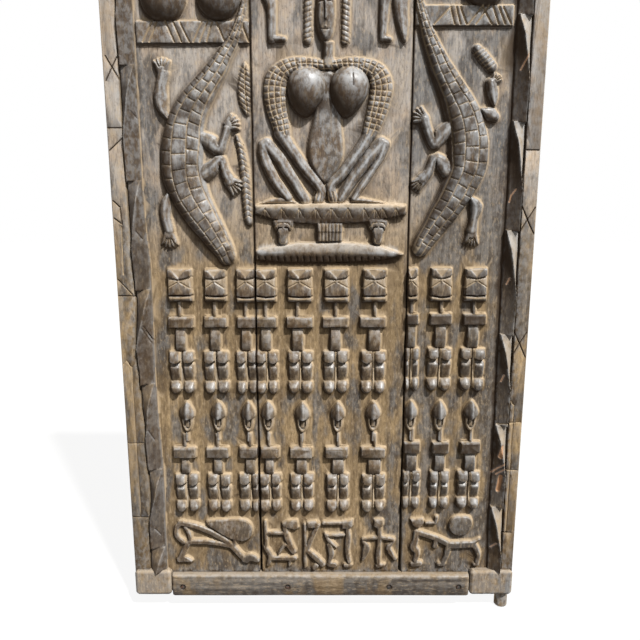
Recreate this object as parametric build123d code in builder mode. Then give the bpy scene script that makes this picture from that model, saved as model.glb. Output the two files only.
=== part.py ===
"""Carved granary door leaf: three thick planks, two rails, three ledges and their nails.

The leaf stands upright and turns on two wooden pintles at its right edge. Millimetres.
X runs across the leaf, Y from the carved face (low) to the back (high) and Z up. The origin is on
the pintles' axis, level with the lowest edge of the feet.
"""

from build123d import *
from math import atan2, degrees, hypot
import os

# ---- Leaf ----
LEAF_WIDTH = 1000
LEAF_HEIGHT = 1780
FIELD_THICKNESS = 35  # wood behind the carving, from the field's face to the back
SEAM_GAP = 4  # open joint between two planks
LEFT_PLANK_WIDTH = 331
RIGHT_PLANK_WIDTH = 297

# ---- Pintles, in one wood with the right plank ----
PINTLE_RADIUS = 17.5
TOP_PINTLE_RADIUS = 16
PINTLE_INSET = 17.5  # from the leaf's right edge to the pintles' axis
BOTTOM_PINTLE_LENGTH = 50  # below the leaf
TOP_PINTLE_LENGTH = 46  # above the leaf
PINTLE_ROOT = 20  # how far a pintle's cylinder runs into the foot
PINTLE_END_CHAMFER = 4

# ---- Border along each long side: outer board, groove and twisted strip ----
OUTER_BOARD_WIDTH = 30
OUTER_BOARD_PROUD = 9
GROOVE_WIDTH = 5
STRIP_WIDTH = 33
STRIP_SHOULDER = 8  # height of the strip's low edges over the field
STRIP_CREST = 20  # height of the twisting crest over the field
STRIP_TURN = 236  # length of one turn of the twist
LEFT_FIRST_TURN = 141  # length of the topmost turn, which the foot cuts short
RIGHT_FIRST_TURN = 36
CREST_INSET = 5  # nearest that the crest comes to either edge of the strip
RELIEF_SINK = 1  # how far every relief reaches into the wood under it

# ---- Feet and rails ----
FOOT_WIDTH = 95
RIGHT_FOOT_WIDTH = 112
FOOT_HEIGHT = 70
FOOT_PROUD = 18
FOOT_CORNER = 8
RAIL_GAP = 3  # open joint between a rail's end and a foot
RAIL_HEIGHT = 62
RAIL_OVERHANG = 5  # how far a rail passes the feet's end
RAIL_PROUD = 21
RAIL_BULGE = 7  # how much of that is the rounding of its face
TONGUE_THICKNESS = 14  # wood of the planks left behind a rail
TONGUE_SHORT = 17  # how much the tongues end short of the rail's free edge

# ---- Ledges on the back ----
BATTEN_THICKNESS = 26
BATTEN_HEIGHT = 72
BATTEN_END_INSET = 55  # from the leaf's sides to the ledge's ends
BATTEN_EDGE_CHAMFER = 4
LOWER_BATTEN_HEIGHT = 235  # of its centreline above the feet
UPPER_BATTEN_DROP = 235  # of its centreline below the leaf's top

# ---- Nails ----
NAIL_SHANK_RADIUS = 2.2
NAIL_HEAD_RADIUS = 5
NAIL_HEAD_HEIGHT = 2.4
RAIL_NAIL_SINK = 4  # depth of the countersunk seat in a rail
RAIL_NAIL_LEVEL = 29  # above the rail's free edge
BATTEN_NAIL_BITE = 22  # how far a ledge's nail goes into a plank
BATTEN_NAIL_PITCH = 34  # height between the two nails of a pair
BATTEN_NAIL_END_INSET = 42  # from a ledge's end to its outermost nails
BATTEN_NAIL_SEAM_INSET = 50  # from a plank's seam edge to the nails that hold it
RAIL_NAIL_END_INSET = 28  # from a rail's end to its outermost nail
RAIL_NAIL_SEAM_INSETS = (69, 26)  # from the centre plank's edges to the nails that hold it

# ---- Carving: heights over the field ----
CARVING_DATUM = -15  # level that the places on the face are measured from
LOW = 8  # bands, shins, torsos and the small scenes
MIDDLE = 14  # heads, shoulder bars, knees and crocodile legs
LIMB = 16  # arms and legs of the large figure
STOOL = 18
BODY = 22  # crocodiles and the large figure's head

# ---- Carving: sizes of what repeats ----
HEAD_WIDTH = 58
HEAD_HEIGHT = 82
HELMET_WIDTH = 42
HELMET_HEIGHT = 80
BAR_WIDTH = 60
BAR_HEIGHT = 27
NECK_WIDTH = 12
NECK_HEIGHT = 36
TORSO_WIDTH = 25
TORSO_HEIGHT = 52
LEG_WIDTH = 27
LEG_HEIGHT = 92
LEG_SPACING = 34
KNEE_HEIGHT = 26
KNEE_RISE = 97  # of a knee's centre over the feet's lowest point
ROW_ONE_FOOT = 568  # lowest point of the upper row's feet
ROW_TWO_FOOT = 247
ROW_ONE_BAR = 185  # rise of the shoulder bar's centre over the feet's lowest point
ROW_TWO_BAR = 166
MASK_RISE = 278  # the same for the square heads
HELMET_RISE = 255
RIGHT_ROW_RISE = 10  # of the right plank's rows over the others
FRIEZE_DROP = 121  # of the top heads' centres below the leaf's top
ARM_WIDTH = 34
FIGURE_LEG_WIDTH = 20
CROCODILE_LEG_WIDTH = 22
CAPSULE_WIDTH = 25
SNAKE_WIDTH = 16
BRAID_WIDTH = 18
SCENE_LIMB_WIDTH = 15
CENTRE_LIMB_WIDTH = 12
PIPE_STEM_WIDTH = 9

BREAST_RADIUS = 45
BREAST_HEIGHT = 38
BOSS_RADIUS = 50
BOSS_HEIGHT = 36
BOSS_LEVEL = 1489

BAND_HEIGHT = 44
BAND_LEVEL = 1417  # centre of the lower hatched band
TOP_BAND_DROP = 198  # of the upper hatched band's centre below the leaf's top

# ---- Worked out from the above ----
FRIEZE_LEVEL = LEAF_HEIGHT - FRIEZE_DROP - CARVING_DATUM
TOP_BAND_LEVEL = LEAF_HEIGHT - TOP_BAND_DROP - CARVING_DATUM
RIGHT_EDGE = PINTLE_INSET
LEFT_EDGE = RIGHT_EDGE - LEAF_WIDTH
LEFT_SEAM = LEFT_EDGE + LEFT_PLANK_WIDTH
RIGHT_SEAM = RIGHT_EDGE - RIGHT_PLANK_WIDTH
CENTRE_LOW = LEFT_SEAM + SEAM_GAP
CENTRE_HIGH = RIGHT_SEAM - SEAM_GAP
CENTRE_X = (CENTRE_LOW + CENTRE_HIGH) / 2
BORDER_WIDTH = OUTER_BOARD_WIDTH + GROOVE_WIDTH + STRIP_WIDTH
LEFT_FIELD = LEFT_EDGE + BORDER_WIDTH
RIGHT_FIELD = RIGHT_EDGE - BORDER_WIDTH

DEEP = 200  # reach of a cutting block past the leaf
FACE = FIELD_THICKNESS / 2  # the field's face stands at y = -FACE, the back at y = +FACE
RAIL_TOP = RAIL_HEIGHT - RAIL_OVERHANG
RAIL_LEFT = LEFT_EDGE + FOOT_WIDTH + RAIL_GAP
RAIL_RIGHT = RIGHT_EDGE - RIGHT_FOOT_WIDTH - RAIL_GAP
RAIL_BACK = FACE - TONGUE_THICKNESS
RAIL_FACE = -FACE - RAIL_PROUD
BATTEN_LEVELS = {
    "lower": LOWER_BATTEN_HEIGHT,
    "middle": (LOWER_BATTEN_HEIGHT + LEAF_HEIGHT - UPPER_BATTEN_DROP) / 2,
    "upper": LEAF_HEIGHT - UPPER_BATTEN_DROP,
}
RAIL_NAIL_XS = [
    RAIL_LEFT + RAIL_NAIL_END_INSET,
    CENTRE_LOW + RAIL_NAIL_SEAM_INSETS[0],
    CENTRE_HIGH - RAIL_NAIL_SEAM_INSETS[1],
    RAIL_RIGHT - RAIL_NAIL_END_INSET,
]
BATTEN_NAIL_XS = [
    LEFT_EDGE + BATTEN_END_INSET + BATTEN_NAIL_END_INSET,
    LEFT_SEAM - BATTEN_NAIL_SEAM_INSET,
    CENTRE_LOW + BATTEN_NAIL_SEAM_INSET,
    CENTRE_HIGH - BATTEN_NAIL_SEAM_INSET,
    RIGHT_SEAM + BATTEN_NAIL_SEAM_INSET,
    RIGHT_EDGE - BATTEN_END_INSET - BATTEN_NAIL_END_INSET,
]


def face_plane(origin_x):
    """Upright plane just inside the field's face: its x runs across, its y up, its normal outwards."""
    return Plane(
        origin=(origin_x, -FACE + RELIEF_SINK, CARVING_DATUM), x_dir=(1, 0, 0), z_dir=(0, -1, 0)
    )


# ---- Outlines of the carving: flat faces, x across from the plank's datum, y up from the carving's ----


def blocks(places, width, height):
    """Rectangles of one size, centred at places."""
    with BuildSketch() as shape:
        with Locations(*places):
            Rectangle(width, height)
    return shape.faces()


def ovals(places, width, height):
    """Ellipses of one size, centred at places."""
    with BuildSketch() as shape:
        with Locations(*places):
            Ellipse(width / 2, height / 2)
    return shape.faces()


def limbs(lines, width):
    """Bent limbs of even width along lines, with round ends and bends."""
    faces = []
    for points in lines:
        for start, end in zip(points, points[1:]):
            run = (end[0] - start[0], end[1] - start[1])
            with BuildSketch() as shape:
                with Locations(((start[0] + end[0]) / 2, (start[1] + end[1]) / 2)):
                    SlotCenterToCenter(hypot(*run), width, rotation=degrees(atan2(run[1], run[0])))
            faces += shape.faces()
    return faces


def smooth_shape(points):
    """Closed outline that runs smoothly through points."""
    with BuildSketch() as shape:
        with BuildLine():
            Spline(*points, periodic=True)
        make_face()
    return shape.faces()


def angular_shape(points):
    """Closed outline with straight sides."""
    with BuildSketch() as shape:
        with BuildLine():
            Polyline(*points, close=True)
        make_face()
    return shape.faces()


def raise_on(plank_x, height, faces):
    """Relief of one height over the field, standing on faces measured from plank_x."""
    with BuildPart() as relief:
        with BuildSketch(face_plane(plank_x)):
            add(faces)
        extrude(amount=height + RELIEF_SINK, clean=False)
    return relief.part


def dome_on(x, level, radius, height):
    """Cap of a ball, standing on the field."""
    ball = (radius**2 + height**2) / (2 * height)
    z = CARVING_DATUM + level
    with BuildPart() as dome:
        with Locations((x, -FACE - height + ball, z)):
            Sphere(ball)
        with Locations((x, -FACE + RELIEF_SINK, z)):
            Box(
                4 * ball,
                4 * ball,
                4 * ball,
                align=(Align.CENTER, Align.MAX, Align.CENTER),
                mode=Mode.INTERSECT,
            )
    return dome.part


# ---- Rows of ancestors: each sits with its knees drawn up, seen from the front ----


def row_low(columns, foot, bar_rise):
    """Low parts of a row of ancestors: necks, torsos and shins."""
    necks = [(x, foot + bar_rise + 30) for x in columns]
    torsos = [(x, foot + 137) for x in columns]
    shins = [(x + side * LEG_SPACING / 2, foot + 58) for x in columns for side in (-1, 1)]
    return (
        blocks(necks, NECK_WIDTH, NECK_HEIGHT)
        + blocks(torsos, TORSO_WIDTH, TORSO_HEIGHT)
        + blocks(shins, LEG_WIDTH, LEG_HEIGHT)
    )


def row_proud(columns, foot, bar_rise):
    """Shoulder bars, knees and feet of a row of ancestors."""
    bars = [(x, foot + bar_rise) for x in columns]
    knobs = [
        (x + side * LEG_SPACING / 2, foot + rise)
        for x in columns
        for side in (-1, 1)
        for rise in (KNEE_RISE, KNEE_HEIGHT / 2)
    ]
    return blocks(bars, BAR_WIDTH, BAR_HEIGHT) + ovals(knobs, LEG_WIDTH, KNEE_HEIGHT)


def both_rows_low(columns, rise):
    return row_low(columns, ROW_ONE_FOOT + rise, ROW_ONE_BAR) + row_low(
        columns, ROW_TWO_FOOT + rise, ROW_TWO_BAR
    )


def both_rows_proud(columns, rise):
    """Proud parts of both rows with their heads, and the row of heads along the top."""
    masks = [(x, ROW_ONE_FOOT + rise + MASK_RISE) for x in columns]
    masks += [(x, FRIEZE_LEVEL) for x in columns]
    helmets = [(x, ROW_TWO_FOOT + rise + HELMET_RISE) for x in columns]
    return (
        row_proud(columns, ROW_ONE_FOOT + rise, ROW_ONE_BAR)
        + row_proud(columns, ROW_TWO_FOOT + rise, ROW_TWO_BAR)
        + blocks(masks, HEAD_WIDTH, HEAD_HEIGHT)
        + ovals(helmets, HELMET_WIDTH, HELMET_HEIGHT)
    )


# ---- Carving of the left plank, measured from its seam edge ----

LEFT_COLUMNS = (-186, -99, -23)
LEFT_CROCODILE = [
    (-9, 1500), (-27, 1420), (-50, 1372), (-112, 1300), (-186, 1248), (-212, 1190),
    (-216, 1120), (-202, 1060), (-160, 980), (-86, 905), (-66, 902), (-46, 940),
    (-70, 1000), (-98, 1070), (-114, 1140), (-112, 1200), (-96, 1255), (-62, 1322),
    (-30, 1390), (2, 1460),
]
LEFT_CROCODILE_LEGS = [
    [(-198, 1250), (-219, 1280), (-201, 1318), (-199, 1350)],
    [(-108, 1195), (-88, 1160), (-64, 1205), (-48, 1222)],
    [(-108, 1100), (-82, 1140), (-60, 1092), (-40, 1072)],
    [(-196, 1062), (-212, 1030), (-206, 985), (-208, 958)],
]
LEAF_FORM = [(-14, 1355), (-30, 1315), (-24, 1262), (-14, 1237), (0, 1262), (0, 1330)]
SNAKE = [(-34, 1190), (-24, 1140), (-17, 1090), (-13, 1012)]
RECLINING_FIGURE = [
    [(-208, 210), (-190, 214), (-82, 152), (-45, 108), (-12, 104)],
    [(-190, 214), (-216, 196), (-200, 166), (-184, 158), (-92, 148)],
    [(-184, 158), (-206, 106), (-178, 104)],
]
PADDLE = [(-138, 222), (-38, 222), (-16, 196), (-40, 165), (-66, 170), (-136, 208)]
LEFT_BAND_X = -128
LEFT_BAND_WIDTH = 256
LEFT_BOSSES = (-189, -66)


def left_carving():
    """Everything carved on the left plank's field."""
    bands = [(LEFT_BAND_X, BAND_LEVEL), (LEFT_BAND_X, TOP_BAND_LEVEL)]
    low = (
        blocks(bands, LEFT_BAND_WIDTH, BAND_HEIGHT)
        + smooth_shape(LEAF_FORM)
        + limbs([SNAKE], SNAKE_WIDTH)
        + limbs(RECLINING_FIGURE, SCENE_LIMB_WIDTH)
        + angular_shape(PADDLE)
        + both_rows_low(LEFT_COLUMNS, 0)
    )
    proud = both_rows_proud(LEFT_COLUMNS, 0) + limbs(LEFT_CROCODILE_LEGS, CROCODILE_LEG_WIDTH)
    return [
        raise_on(LEFT_SEAM, LOW, low),
        raise_on(LEFT_SEAM, MIDDLE, proud),
        raise_on(LEFT_SEAM, BODY, smooth_shape(LEFT_CROCODILE)),
    ] + [dome_on(LEFT_SEAM + x, BOSS_LEVEL, BOSS_RADIUS, BOSS_HEIGHT) for x in LEFT_BOSSES]


# ---- Carving of the centre plank, measured from its centreline ----

CENTRE_COLUMNS = (-159, -79, 13, 108)
ARMS = [
    [(-29, 1352), (-118, 1346), (-130, 1290), (-124, 1196), (-10, 1060)],
    [(8, 1352), (112, 1350), (112, 1290), (96, 1196), (-10, 1060)],
]
LEGS = [
    [(-66, 1046), (-158, 1150), (-146, 1172), (-50, 1062)],
    [(30, 1046), (124, 1150), (110, 1172), (20, 1062)],
]
TORSO = [(-52, 1345), (26, 1345), (20, 1245), (24, 1160), (-10, 1075), (-54, 1160), (-40, 1245)]
FIGURE_HEAD = [(-17, 1462)]
FIGURE_HEAD_WIDTH = 52
FIGURE_HEAD_HEIGHT = 150
BRAIDS = [[(-53, 1402), (-57, 1520)], [(31, 1402), (37, 1520)]]
BREASTS = (-56, 40)
BREAST_LEVEL = 1297
STOOL_SEAT = [(-180, 1020), (-15, 1036), (178, 1020), (90, 998), (-15, 990), (-110, 998)]
STOOL_BASE = [(-180, 918), (-100, 938), (100, 938), (176, 918), (100, 904), (-100, 900)]
STOOL_WEDGES = [
    [(-178, 1034), (-112, 1053), (-97, 1053), (-48, 1034)],
    [(30, 1034), (50, 1052), (68, 1052), (150, 1034)],
]
STOOL_POST = [(-4, 968)]
STOOL_POST_SIZE = (62, 70)
STOOL_HEADS = [(-112, 970), (118, 971)]
STOOL_HEAD_SIZE = (36, 78)
SIDE_FIGURES = [
    [(-136, 1395), (-136, 1560)],
    [(-112, 1395), (-118, 1470), (-118, 1560)],
    [(118, 1398), (120, 1470), (124, 1560)],
    [(158, 1400), (160, 1470), (154, 1560)],
]
SIDE_HEADS = [(-127, 1578), (139, 1578)]
SIDE_HEAD_SIZE = (36, 50)
CENTRE_SCENE = [
    [(-170, 215), (-170, 145), (-166, 112), (-162, 92)],
    [(-160, 186), (-114, 186)],
    [(-114, 206), (-96, 136), (-122, 128), (-133, 124)],
    [(-150, 110), (-92, 112), (-106, 90)],
    [(-68, 206), (-66, 92)],
    [(-34, 206), (-54, 140), (-22, 92), (-47, 78)],
    [(-13, 176), (0, 140), (3, 92)],
    [(43, 206), (44, 130), (44, 88)],
    [(-14, 210), (36, 210)],
    [(128, 210), (130, 130), (130, 88)],
    [(86, 165), (130, 168), (164, 162), (158, 135), (174, 106)],
    [(86, 165), (90, 135), (85, 104)],
]
SCENE_HEADS = [(-104, 210), (-36, 212), (48, 208), (128, 210)]
SCENE_HEAD_SIZE = (34, 22)


def centre_carving():
    """Everything carved on the centre plank's field: above all the seated figure and its stool."""
    low = (
        both_rows_low(CENTRE_COLUMNS, 0)
        + limbs(CENTRE_SCENE, CENTRE_LIMB_WIDTH)
        + blocks(SCENE_HEADS, *SCENE_HEAD_SIZE)
        + limbs(SIDE_FIGURES + BRAIDS, BRAID_WIDTH)
    )
    proud = (
        both_rows_proud(CENTRE_COLUMNS, 0)
        + ovals(SIDE_HEADS, *SIDE_HEAD_SIZE)
        + angular_shape(TORSO)
    )
    arms_and_legs = limbs(ARMS, ARM_WIDTH) + limbs(LEGS, FIGURE_LEG_WIDTH)
    stool = (
        angular_shape(STOOL_SEAT)
        + angular_shape(STOOL_BASE)
        + blocks(STOOL_POST, *STOOL_POST_SIZE)
        + ovals(STOOL_HEADS, *STOOL_HEAD_SIZE)
    )
    for wedge in STOOL_WEDGES:
        stool += angular_shape(wedge)
    head = ovals(FIGURE_HEAD, FIGURE_HEAD_WIDTH, FIGURE_HEAD_HEIGHT)
    return [
        raise_on(CENTRE_X, LOW, low),
        raise_on(CENTRE_X, MIDDLE, proud),
        raise_on(CENTRE_X, LIMB, arms_and_legs),
        raise_on(CENTRE_X, STOOL, stool),
        raise_on(CENTRE_X, BODY, head),
    ] + [dome_on(CENTRE_X + x, BREAST_LEVEL, BREAST_RADIUS, BREAST_HEIGHT) for x in BREASTS]


# ---- Carving of the right plank, measured from its seam edge ----

RIGHT_COLUMNS = (15, 84, 167)
RIGHT_CROCODILE = [
    (2, 1450), (38, 1350), (66, 1280), (86, 1215), (90, 1150), (80, 1080), (50, 1010),
    (12, 945), (8, 918), (34, 912), (62, 945), (110, 1005), (158, 1080), (182, 1135),
    (178, 1200), (160, 1255), (100, 1325), (58, 1395), (30, 1470), (6, 1500),
]
RIGHT_CROCODILE_LEGS = [
    [(82, 1212), (56, 1180), (30, 1220), (18, 1245)],
    [(86, 1106), (58, 1140), (36, 1108), (12, 1084)],
    [(170, 1225), (190, 1262), (178, 1310), (192, 1322)],
    [(155, 1062), (168, 1030), (152, 985), (152, 955)],
]
CAPSULE = [(146, 1384), (181, 1346)]
PIPE_SCENE = [
    [(34, 222), (52, 216), (38, 180), (36, 150), (52, 125), (40, 96), (56, 94)],
    [(46, 186), (105, 170), (128, 150), (200, 148), (206, 120), (204, 96)],
    [(128, 150), (122, 122), (114, 96), (108, 94)],
]
PIPE_STEM = [(58, 215), (88, 215), (93, 228)]
SHIELD = [(136, 229), (176, 229), (188, 205), (170, 178), (145, 178), (126, 205)]
RIGHT_BAND_X = 113
RIGHT_BAND_WIDTH = 224
RIGHT_BAND_RISE = 13  # of the right plank's lower band over the left plank's
RIGHT_BOSSES = (152,)
RIGHT_BOSS_RISE = 28


def right_carving():
    """Everything carved on the right plank's field."""
    bands = [(RIGHT_BAND_X, BAND_LEVEL + RIGHT_BAND_RISE), (RIGHT_BAND_X, TOP_BAND_LEVEL)]
    low = (
        blocks(bands, RIGHT_BAND_WIDTH, BAND_HEIGHT)
        + both_rows_low(RIGHT_COLUMNS, RIGHT_ROW_RISE)
        + limbs(PIPE_SCENE, SCENE_LIMB_WIDTH)
        + limbs([PIPE_STEM], PIPE_STEM_WIDTH)
        + angular_shape(SHIELD)
    )
    proud = (
        both_rows_proud(RIGHT_COLUMNS, RIGHT_ROW_RISE)
        + limbs(RIGHT_CROCODILE_LEGS, CROCODILE_LEG_WIDTH)
        + limbs([CAPSULE], CAPSULE_WIDTH)
    )
    boss_level = BOSS_LEVEL + RIGHT_BOSS_RISE
    return [
        raise_on(RIGHT_SEAM, LOW, low),
        raise_on(RIGHT_SEAM, MIDDLE, proud),
        raise_on(RIGHT_SEAM, BODY, smooth_shape(RIGHT_CROCODILE)),
    ] + [dome_on(RIGHT_SEAM + x, boss_level, BOSS_RADIUS, BOSS_HEIGHT) for x in RIGHT_BOSSES]


# ---- Solid work shared by the planks ----


def slab(x_low, x_high, y_front, y_back, z_low, z_high):
    """Plain board between two faces in each direction."""
    with BuildPart(Location((x_low, y_front, z_low))) as board:
        Box(
            x_high - x_low,
            y_back - y_front,
            z_high - z_low,
            align=(Align.MIN, Align.MIN, Align.MIN),
        )
    return board.part


def rail_recesses(x_low, x_high):
    """Room for both rails in a plank: all but the tongue at the back, and below the tongue's end."""
    tongue_end = TONGUE_SHORT - RAIL_OVERHANG
    return [
        slab(x_low, x_high, -DEEP, RAIL_BACK, -DEEP, RAIL_TOP),
        slab(x_low, x_high, -DEEP, DEEP, -DEEP, tongue_end),
        slab(x_low, x_high, -DEEP, RAIL_BACK, LEAF_HEIGHT - RAIL_TOP, LEAF_HEIGHT + DEEP),
        slab(x_low, x_high, -DEEP, DEEP, LEAF_HEIGHT - tongue_end, LEAF_HEIGHT + DEEP),
    ]


def strip_turn(x_outer, x_inner, z_top, length):
    """One turn of the twisted strip: its crest crosses from the field's side to the outer side."""
    toward_field = 1 if x_inner > x_outer else -1
    x_start = x_inner - toward_field * CREST_INSET
    x_end = x_outer + toward_field * CREST_INSET
    with BuildPart() as turn:
        for z, crest_x in ((z_top, x_start), (z_top - length, x_end)):
            with BuildSketch(Plane.XY.offset(z)):
                with BuildLine():
                    Polyline(
                        (x_outer, -FACE + RELIEF_SINK),
                        (x_outer, -FACE - STRIP_SHOULDER),
                        (crest_x, -FACE - STRIP_CREST),
                        (x_inner, -FACE - STRIP_SHOULDER),
                        (x_inner, -FACE + RELIEF_SINK),
                        close=True,
                    )
                make_face()
        loft(ruled=True)
    return turn.part


def twisted_strip(x_outer, x_inner, first_turn):
    """All turns of one side's strip, from the top foot to the bottom one."""
    turns = []
    z = LEAF_HEIGHT - FOOT_HEIGHT
    length = first_turn
    while z - length > FOOT_HEIGHT + STRIP_CREST:
        turns.append(strip_turn(x_outer, x_inner, z, length))
        z -= length
        length = STRIP_TURN
    turns.append(strip_turn(x_outer, x_inner, z, z - FOOT_HEIGHT))
    return turns


def foot(x_low, x_high, z_low, z_high, free_end, rounded):
    """Plain block at one end of a border; rounded corners at its free end, first the one at low X."""
    with BuildPart() as piece:
        with BuildSketch(Plane.XZ.offset(-FACE)):
            with Locations(((x_low + x_high) / 2, (z_low + z_high) / 2)):
                Rectangle(x_high - x_low, z_high - z_low)
        extrude(amount=2 * FACE + FOOT_PROUD)
        corners = piece.edges().filter_by(Axis.Y).group_by(Axis.Z)[free_end].sort_by(Axis.X)
        fillet(corners[:rounded], FOOT_CORNER)
    return piece.part


def nail_row(xs, levels, y_head, y_point, head_side):
    """Nails along Y at each x and level; the head's seat is at y_head, facing head_side."""
    nails = []
    for x in xs:
        for level in levels:
            seat = Plane(origin=(x, y_head, level), z_dir=(0, -head_side, 0))
            with BuildPart(seat) as nail:
                Cylinder(
                    NAIL_SHANK_RADIUS,
                    abs(y_point - y_head),
                    align=(Align.CENTER, Align.CENTER, Align.MIN),
                )
                Cone(
                    NAIL_HEAD_RADIUS,
                    NAIL_HEAD_RADIUS * 0.55,
                    NAIL_HEAD_HEIGHT,
                    rotation=(180, 0, 0),
                    align=(Align.CENTER, Align.CENTER, Align.MIN),
                )
            nails.append(nail.part)
    return nails


def nail_bores(xs, levels, y_low, y_high):
    """Snug bores for nails along Y."""
    bores = []
    for x in xs:
        for level in levels:
            with BuildPart(Plane(origin=(x, y_low, level), z_dir=(0, 1, 0))) as bore:
                Cylinder(
                    NAIL_SHANK_RADIUS,
                    y_high - y_low,
                    align=(Align.CENTER, Align.CENTER, Align.MIN),
                )
            bores.append(bore.part)
    return bores


BATTEN_NAIL_LEVELS = [
    level + side * BATTEN_NAIL_PITCH / 2
    for level in BATTEN_LEVELS.values()
    for side in (-1, 1)
]
RAIL_NAIL_LEVELS = [
    RAIL_NAIL_LEVEL - RAIL_OVERHANG,
    LEAF_HEIGHT - RAIL_NAIL_LEVEL + RAIL_OVERHANG,
]
BATTEN_POINT = FACE - BATTEN_NAIL_BITE


def bores_between(x_low, x_high):
    """Every nail bore that lies in a plank from x_low to x_high."""
    batten_xs = [x for x in BATTEN_NAIL_XS if x_low < x < x_high]
    rail_xs = [x for x in RAIL_NAIL_XS if x_low < x < x_high]
    bores = nail_bores(batten_xs, BATTEN_NAIL_LEVELS, BATTEN_POINT, FACE)
    return bores + nail_bores(rail_xs, RAIL_NAIL_LEVELS, RAIL_BACK, FACE)


def carved_field(x_low, x_high, reliefs):
    """The reliefs, cut off at the field's sides and at both rails."""
    with BuildPart() as carving:
        add(reliefs, clean=False)
        field = slab(x_low, x_high, -DEEP, DEEP, RAIL_TOP, LEAF_HEIGHT - RAIL_TOP)
        add(field, mode=Mode.INTERSECT, clean=False)
    return carving.part


def border(x_edge, x_field, first_turn):
    """Outer board and twisted strip of one long side."""
    inward = 1 if x_field > x_edge else -1
    x_board = x_edge + inward * OUTER_BOARD_WIDTH
    board = slab(
        min(x_edge, x_board),
        max(x_edge, x_board),
        -FACE - OUTER_BOARD_PROUD,
        FACE,
        FOOT_HEIGHT / 2,
        LEAF_HEIGHT - FOOT_HEIGHT / 2,
    )
    return [board] + twisted_strip(x_board + inward * GROOVE_WIDTH, x_field, first_turn)


def feet(x_low, x_high, rounded):
    """The plain blocks at both ends of a border."""
    return [
        foot(x_low, x_high, 0, FOOT_HEIGHT, 0, rounded),
        foot(x_low, x_high, LEAF_HEIGHT - FOOT_HEIGHT, LEAF_HEIGHT, -1, rounded),
    ]


# ---- Left plank ----
with BuildPart() as plank_left:
    add(slab(RAIL_LEFT, LEFT_SEAM, -FACE, FACE, 0, LEAF_HEIGHT))
    add(slab(LEFT_EDGE, RAIL_LEFT, -FACE, FACE, FOOT_HEIGHT / 2, LEAF_HEIGHT - FOOT_HEIGHT / 2))
    add(rail_recesses(RAIL_LEFT - RAIL_GAP, LEFT_SEAM), mode=Mode.SUBTRACT)
    add(feet(LEFT_EDGE, LEFT_EDGE + FOOT_WIDTH, rounded=2))
    add(bores_between(LEFT_EDGE, LEFT_SEAM), mode=Mode.SUBTRACT)
    add(border(LEFT_EDGE, LEFT_FIELD, LEFT_FIRST_TURN), clean=False)
    add(carved_field(LEFT_FIELD, LEFT_SEAM, left_carving()), clean=False)

# ---- Centre plank ----
with BuildPart() as plank_centre:
    add(slab(CENTRE_LOW, CENTRE_HIGH, -FACE, FACE, 0, LEAF_HEIGHT))
    add(rail_recesses(CENTRE_LOW, CENTRE_HIGH), mode=Mode.SUBTRACT)
    add(bores_between(CENTRE_LOW, CENTRE_HIGH), mode=Mode.SUBTRACT)
    add(carved_field(CENTRE_LOW, CENTRE_HIGH, centre_carving()), clean=False)

# ---- Right plank, with the pintles ----
with BuildPart() as plank_right:
    add(slab(RIGHT_SEAM, RAIL_RIGHT, -FACE, FACE, 0, LEAF_HEIGHT))
    add(slab(RAIL_RIGHT, RIGHT_EDGE, -FACE, FACE, FOOT_HEIGHT / 2, LEAF_HEIGHT - FOOT_HEIGHT / 2))
    add(rail_recesses(RIGHT_SEAM, RAIL_RIGHT + RAIL_GAP), mode=Mode.SUBTRACT)
    add(feet(RIGHT_EDGE - RIGHT_FOOT_WIDTH, RIGHT_EDGE, rounded=1))
    with BuildSketch(Plane.XY.offset(-BOTTOM_PINTLE_LENGTH)):
        Circle(PINTLE_RADIUS)
    extrude(amount=BOTTOM_PINTLE_LENGTH + PINTLE_ROOT)
    with BuildSketch(Plane.XY.offset(LEAF_HEIGHT - PINTLE_ROOT)):
        Circle(TOP_PINTLE_RADIUS)
    extrude(amount=TOP_PINTLE_LENGTH + PINTLE_ROOT)
    ends = plank_right.faces().sort_by(Axis.Z)
    chamfer(ends[0].edges() + ends[-1].edges(), PINTLE_END_CHAMFER)
    add(bores_between(RIGHT_SEAM, RIGHT_EDGE), mode=Mode.SUBTRACT)
    add(border(RIGHT_EDGE, RIGHT_FIELD, RIGHT_FIRST_TURN), clean=False)
    add(carved_field(RIGHT_SEAM, RIGHT_FIELD, right_carving()), clean=False)


def rail(free_edge, joint_edge, nail_level):
    """Board across the planks' ends, its face rounded, with sunk seats for the nail heads."""
    middle = (free_edge + joint_edge) / 2
    flank = RAIL_FACE + RAIL_BULGE
    with BuildPart() as board:
        with BuildSketch(Plane.YZ.offset(RAIL_LEFT)):
            with BuildLine():
                Polyline(
                    (flank, free_edge), (RAIL_BACK, free_edge), (RAIL_BACK, joint_edge), (flank, joint_edge)
                )
                ThreePointArc((flank, joint_edge), (RAIL_FACE, middle), (flank, free_edge))
            make_face()
        extrude(amount=RAIL_RIGHT - RAIL_LEFT)
        for x in RAIL_NAIL_XS:
            with BuildSketch(Plane(origin=(x, RAIL_FACE, nail_level), z_dir=(0, 1, 0))):
                Circle(NAIL_HEAD_RADIUS)
            extrude(amount=RAIL_NAIL_SINK, mode=Mode.SUBTRACT)
        add(nail_bores(RAIL_NAIL_XS, [nail_level], RAIL_FACE, RAIL_BACK), mode=Mode.SUBTRACT)
    return board.part


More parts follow.
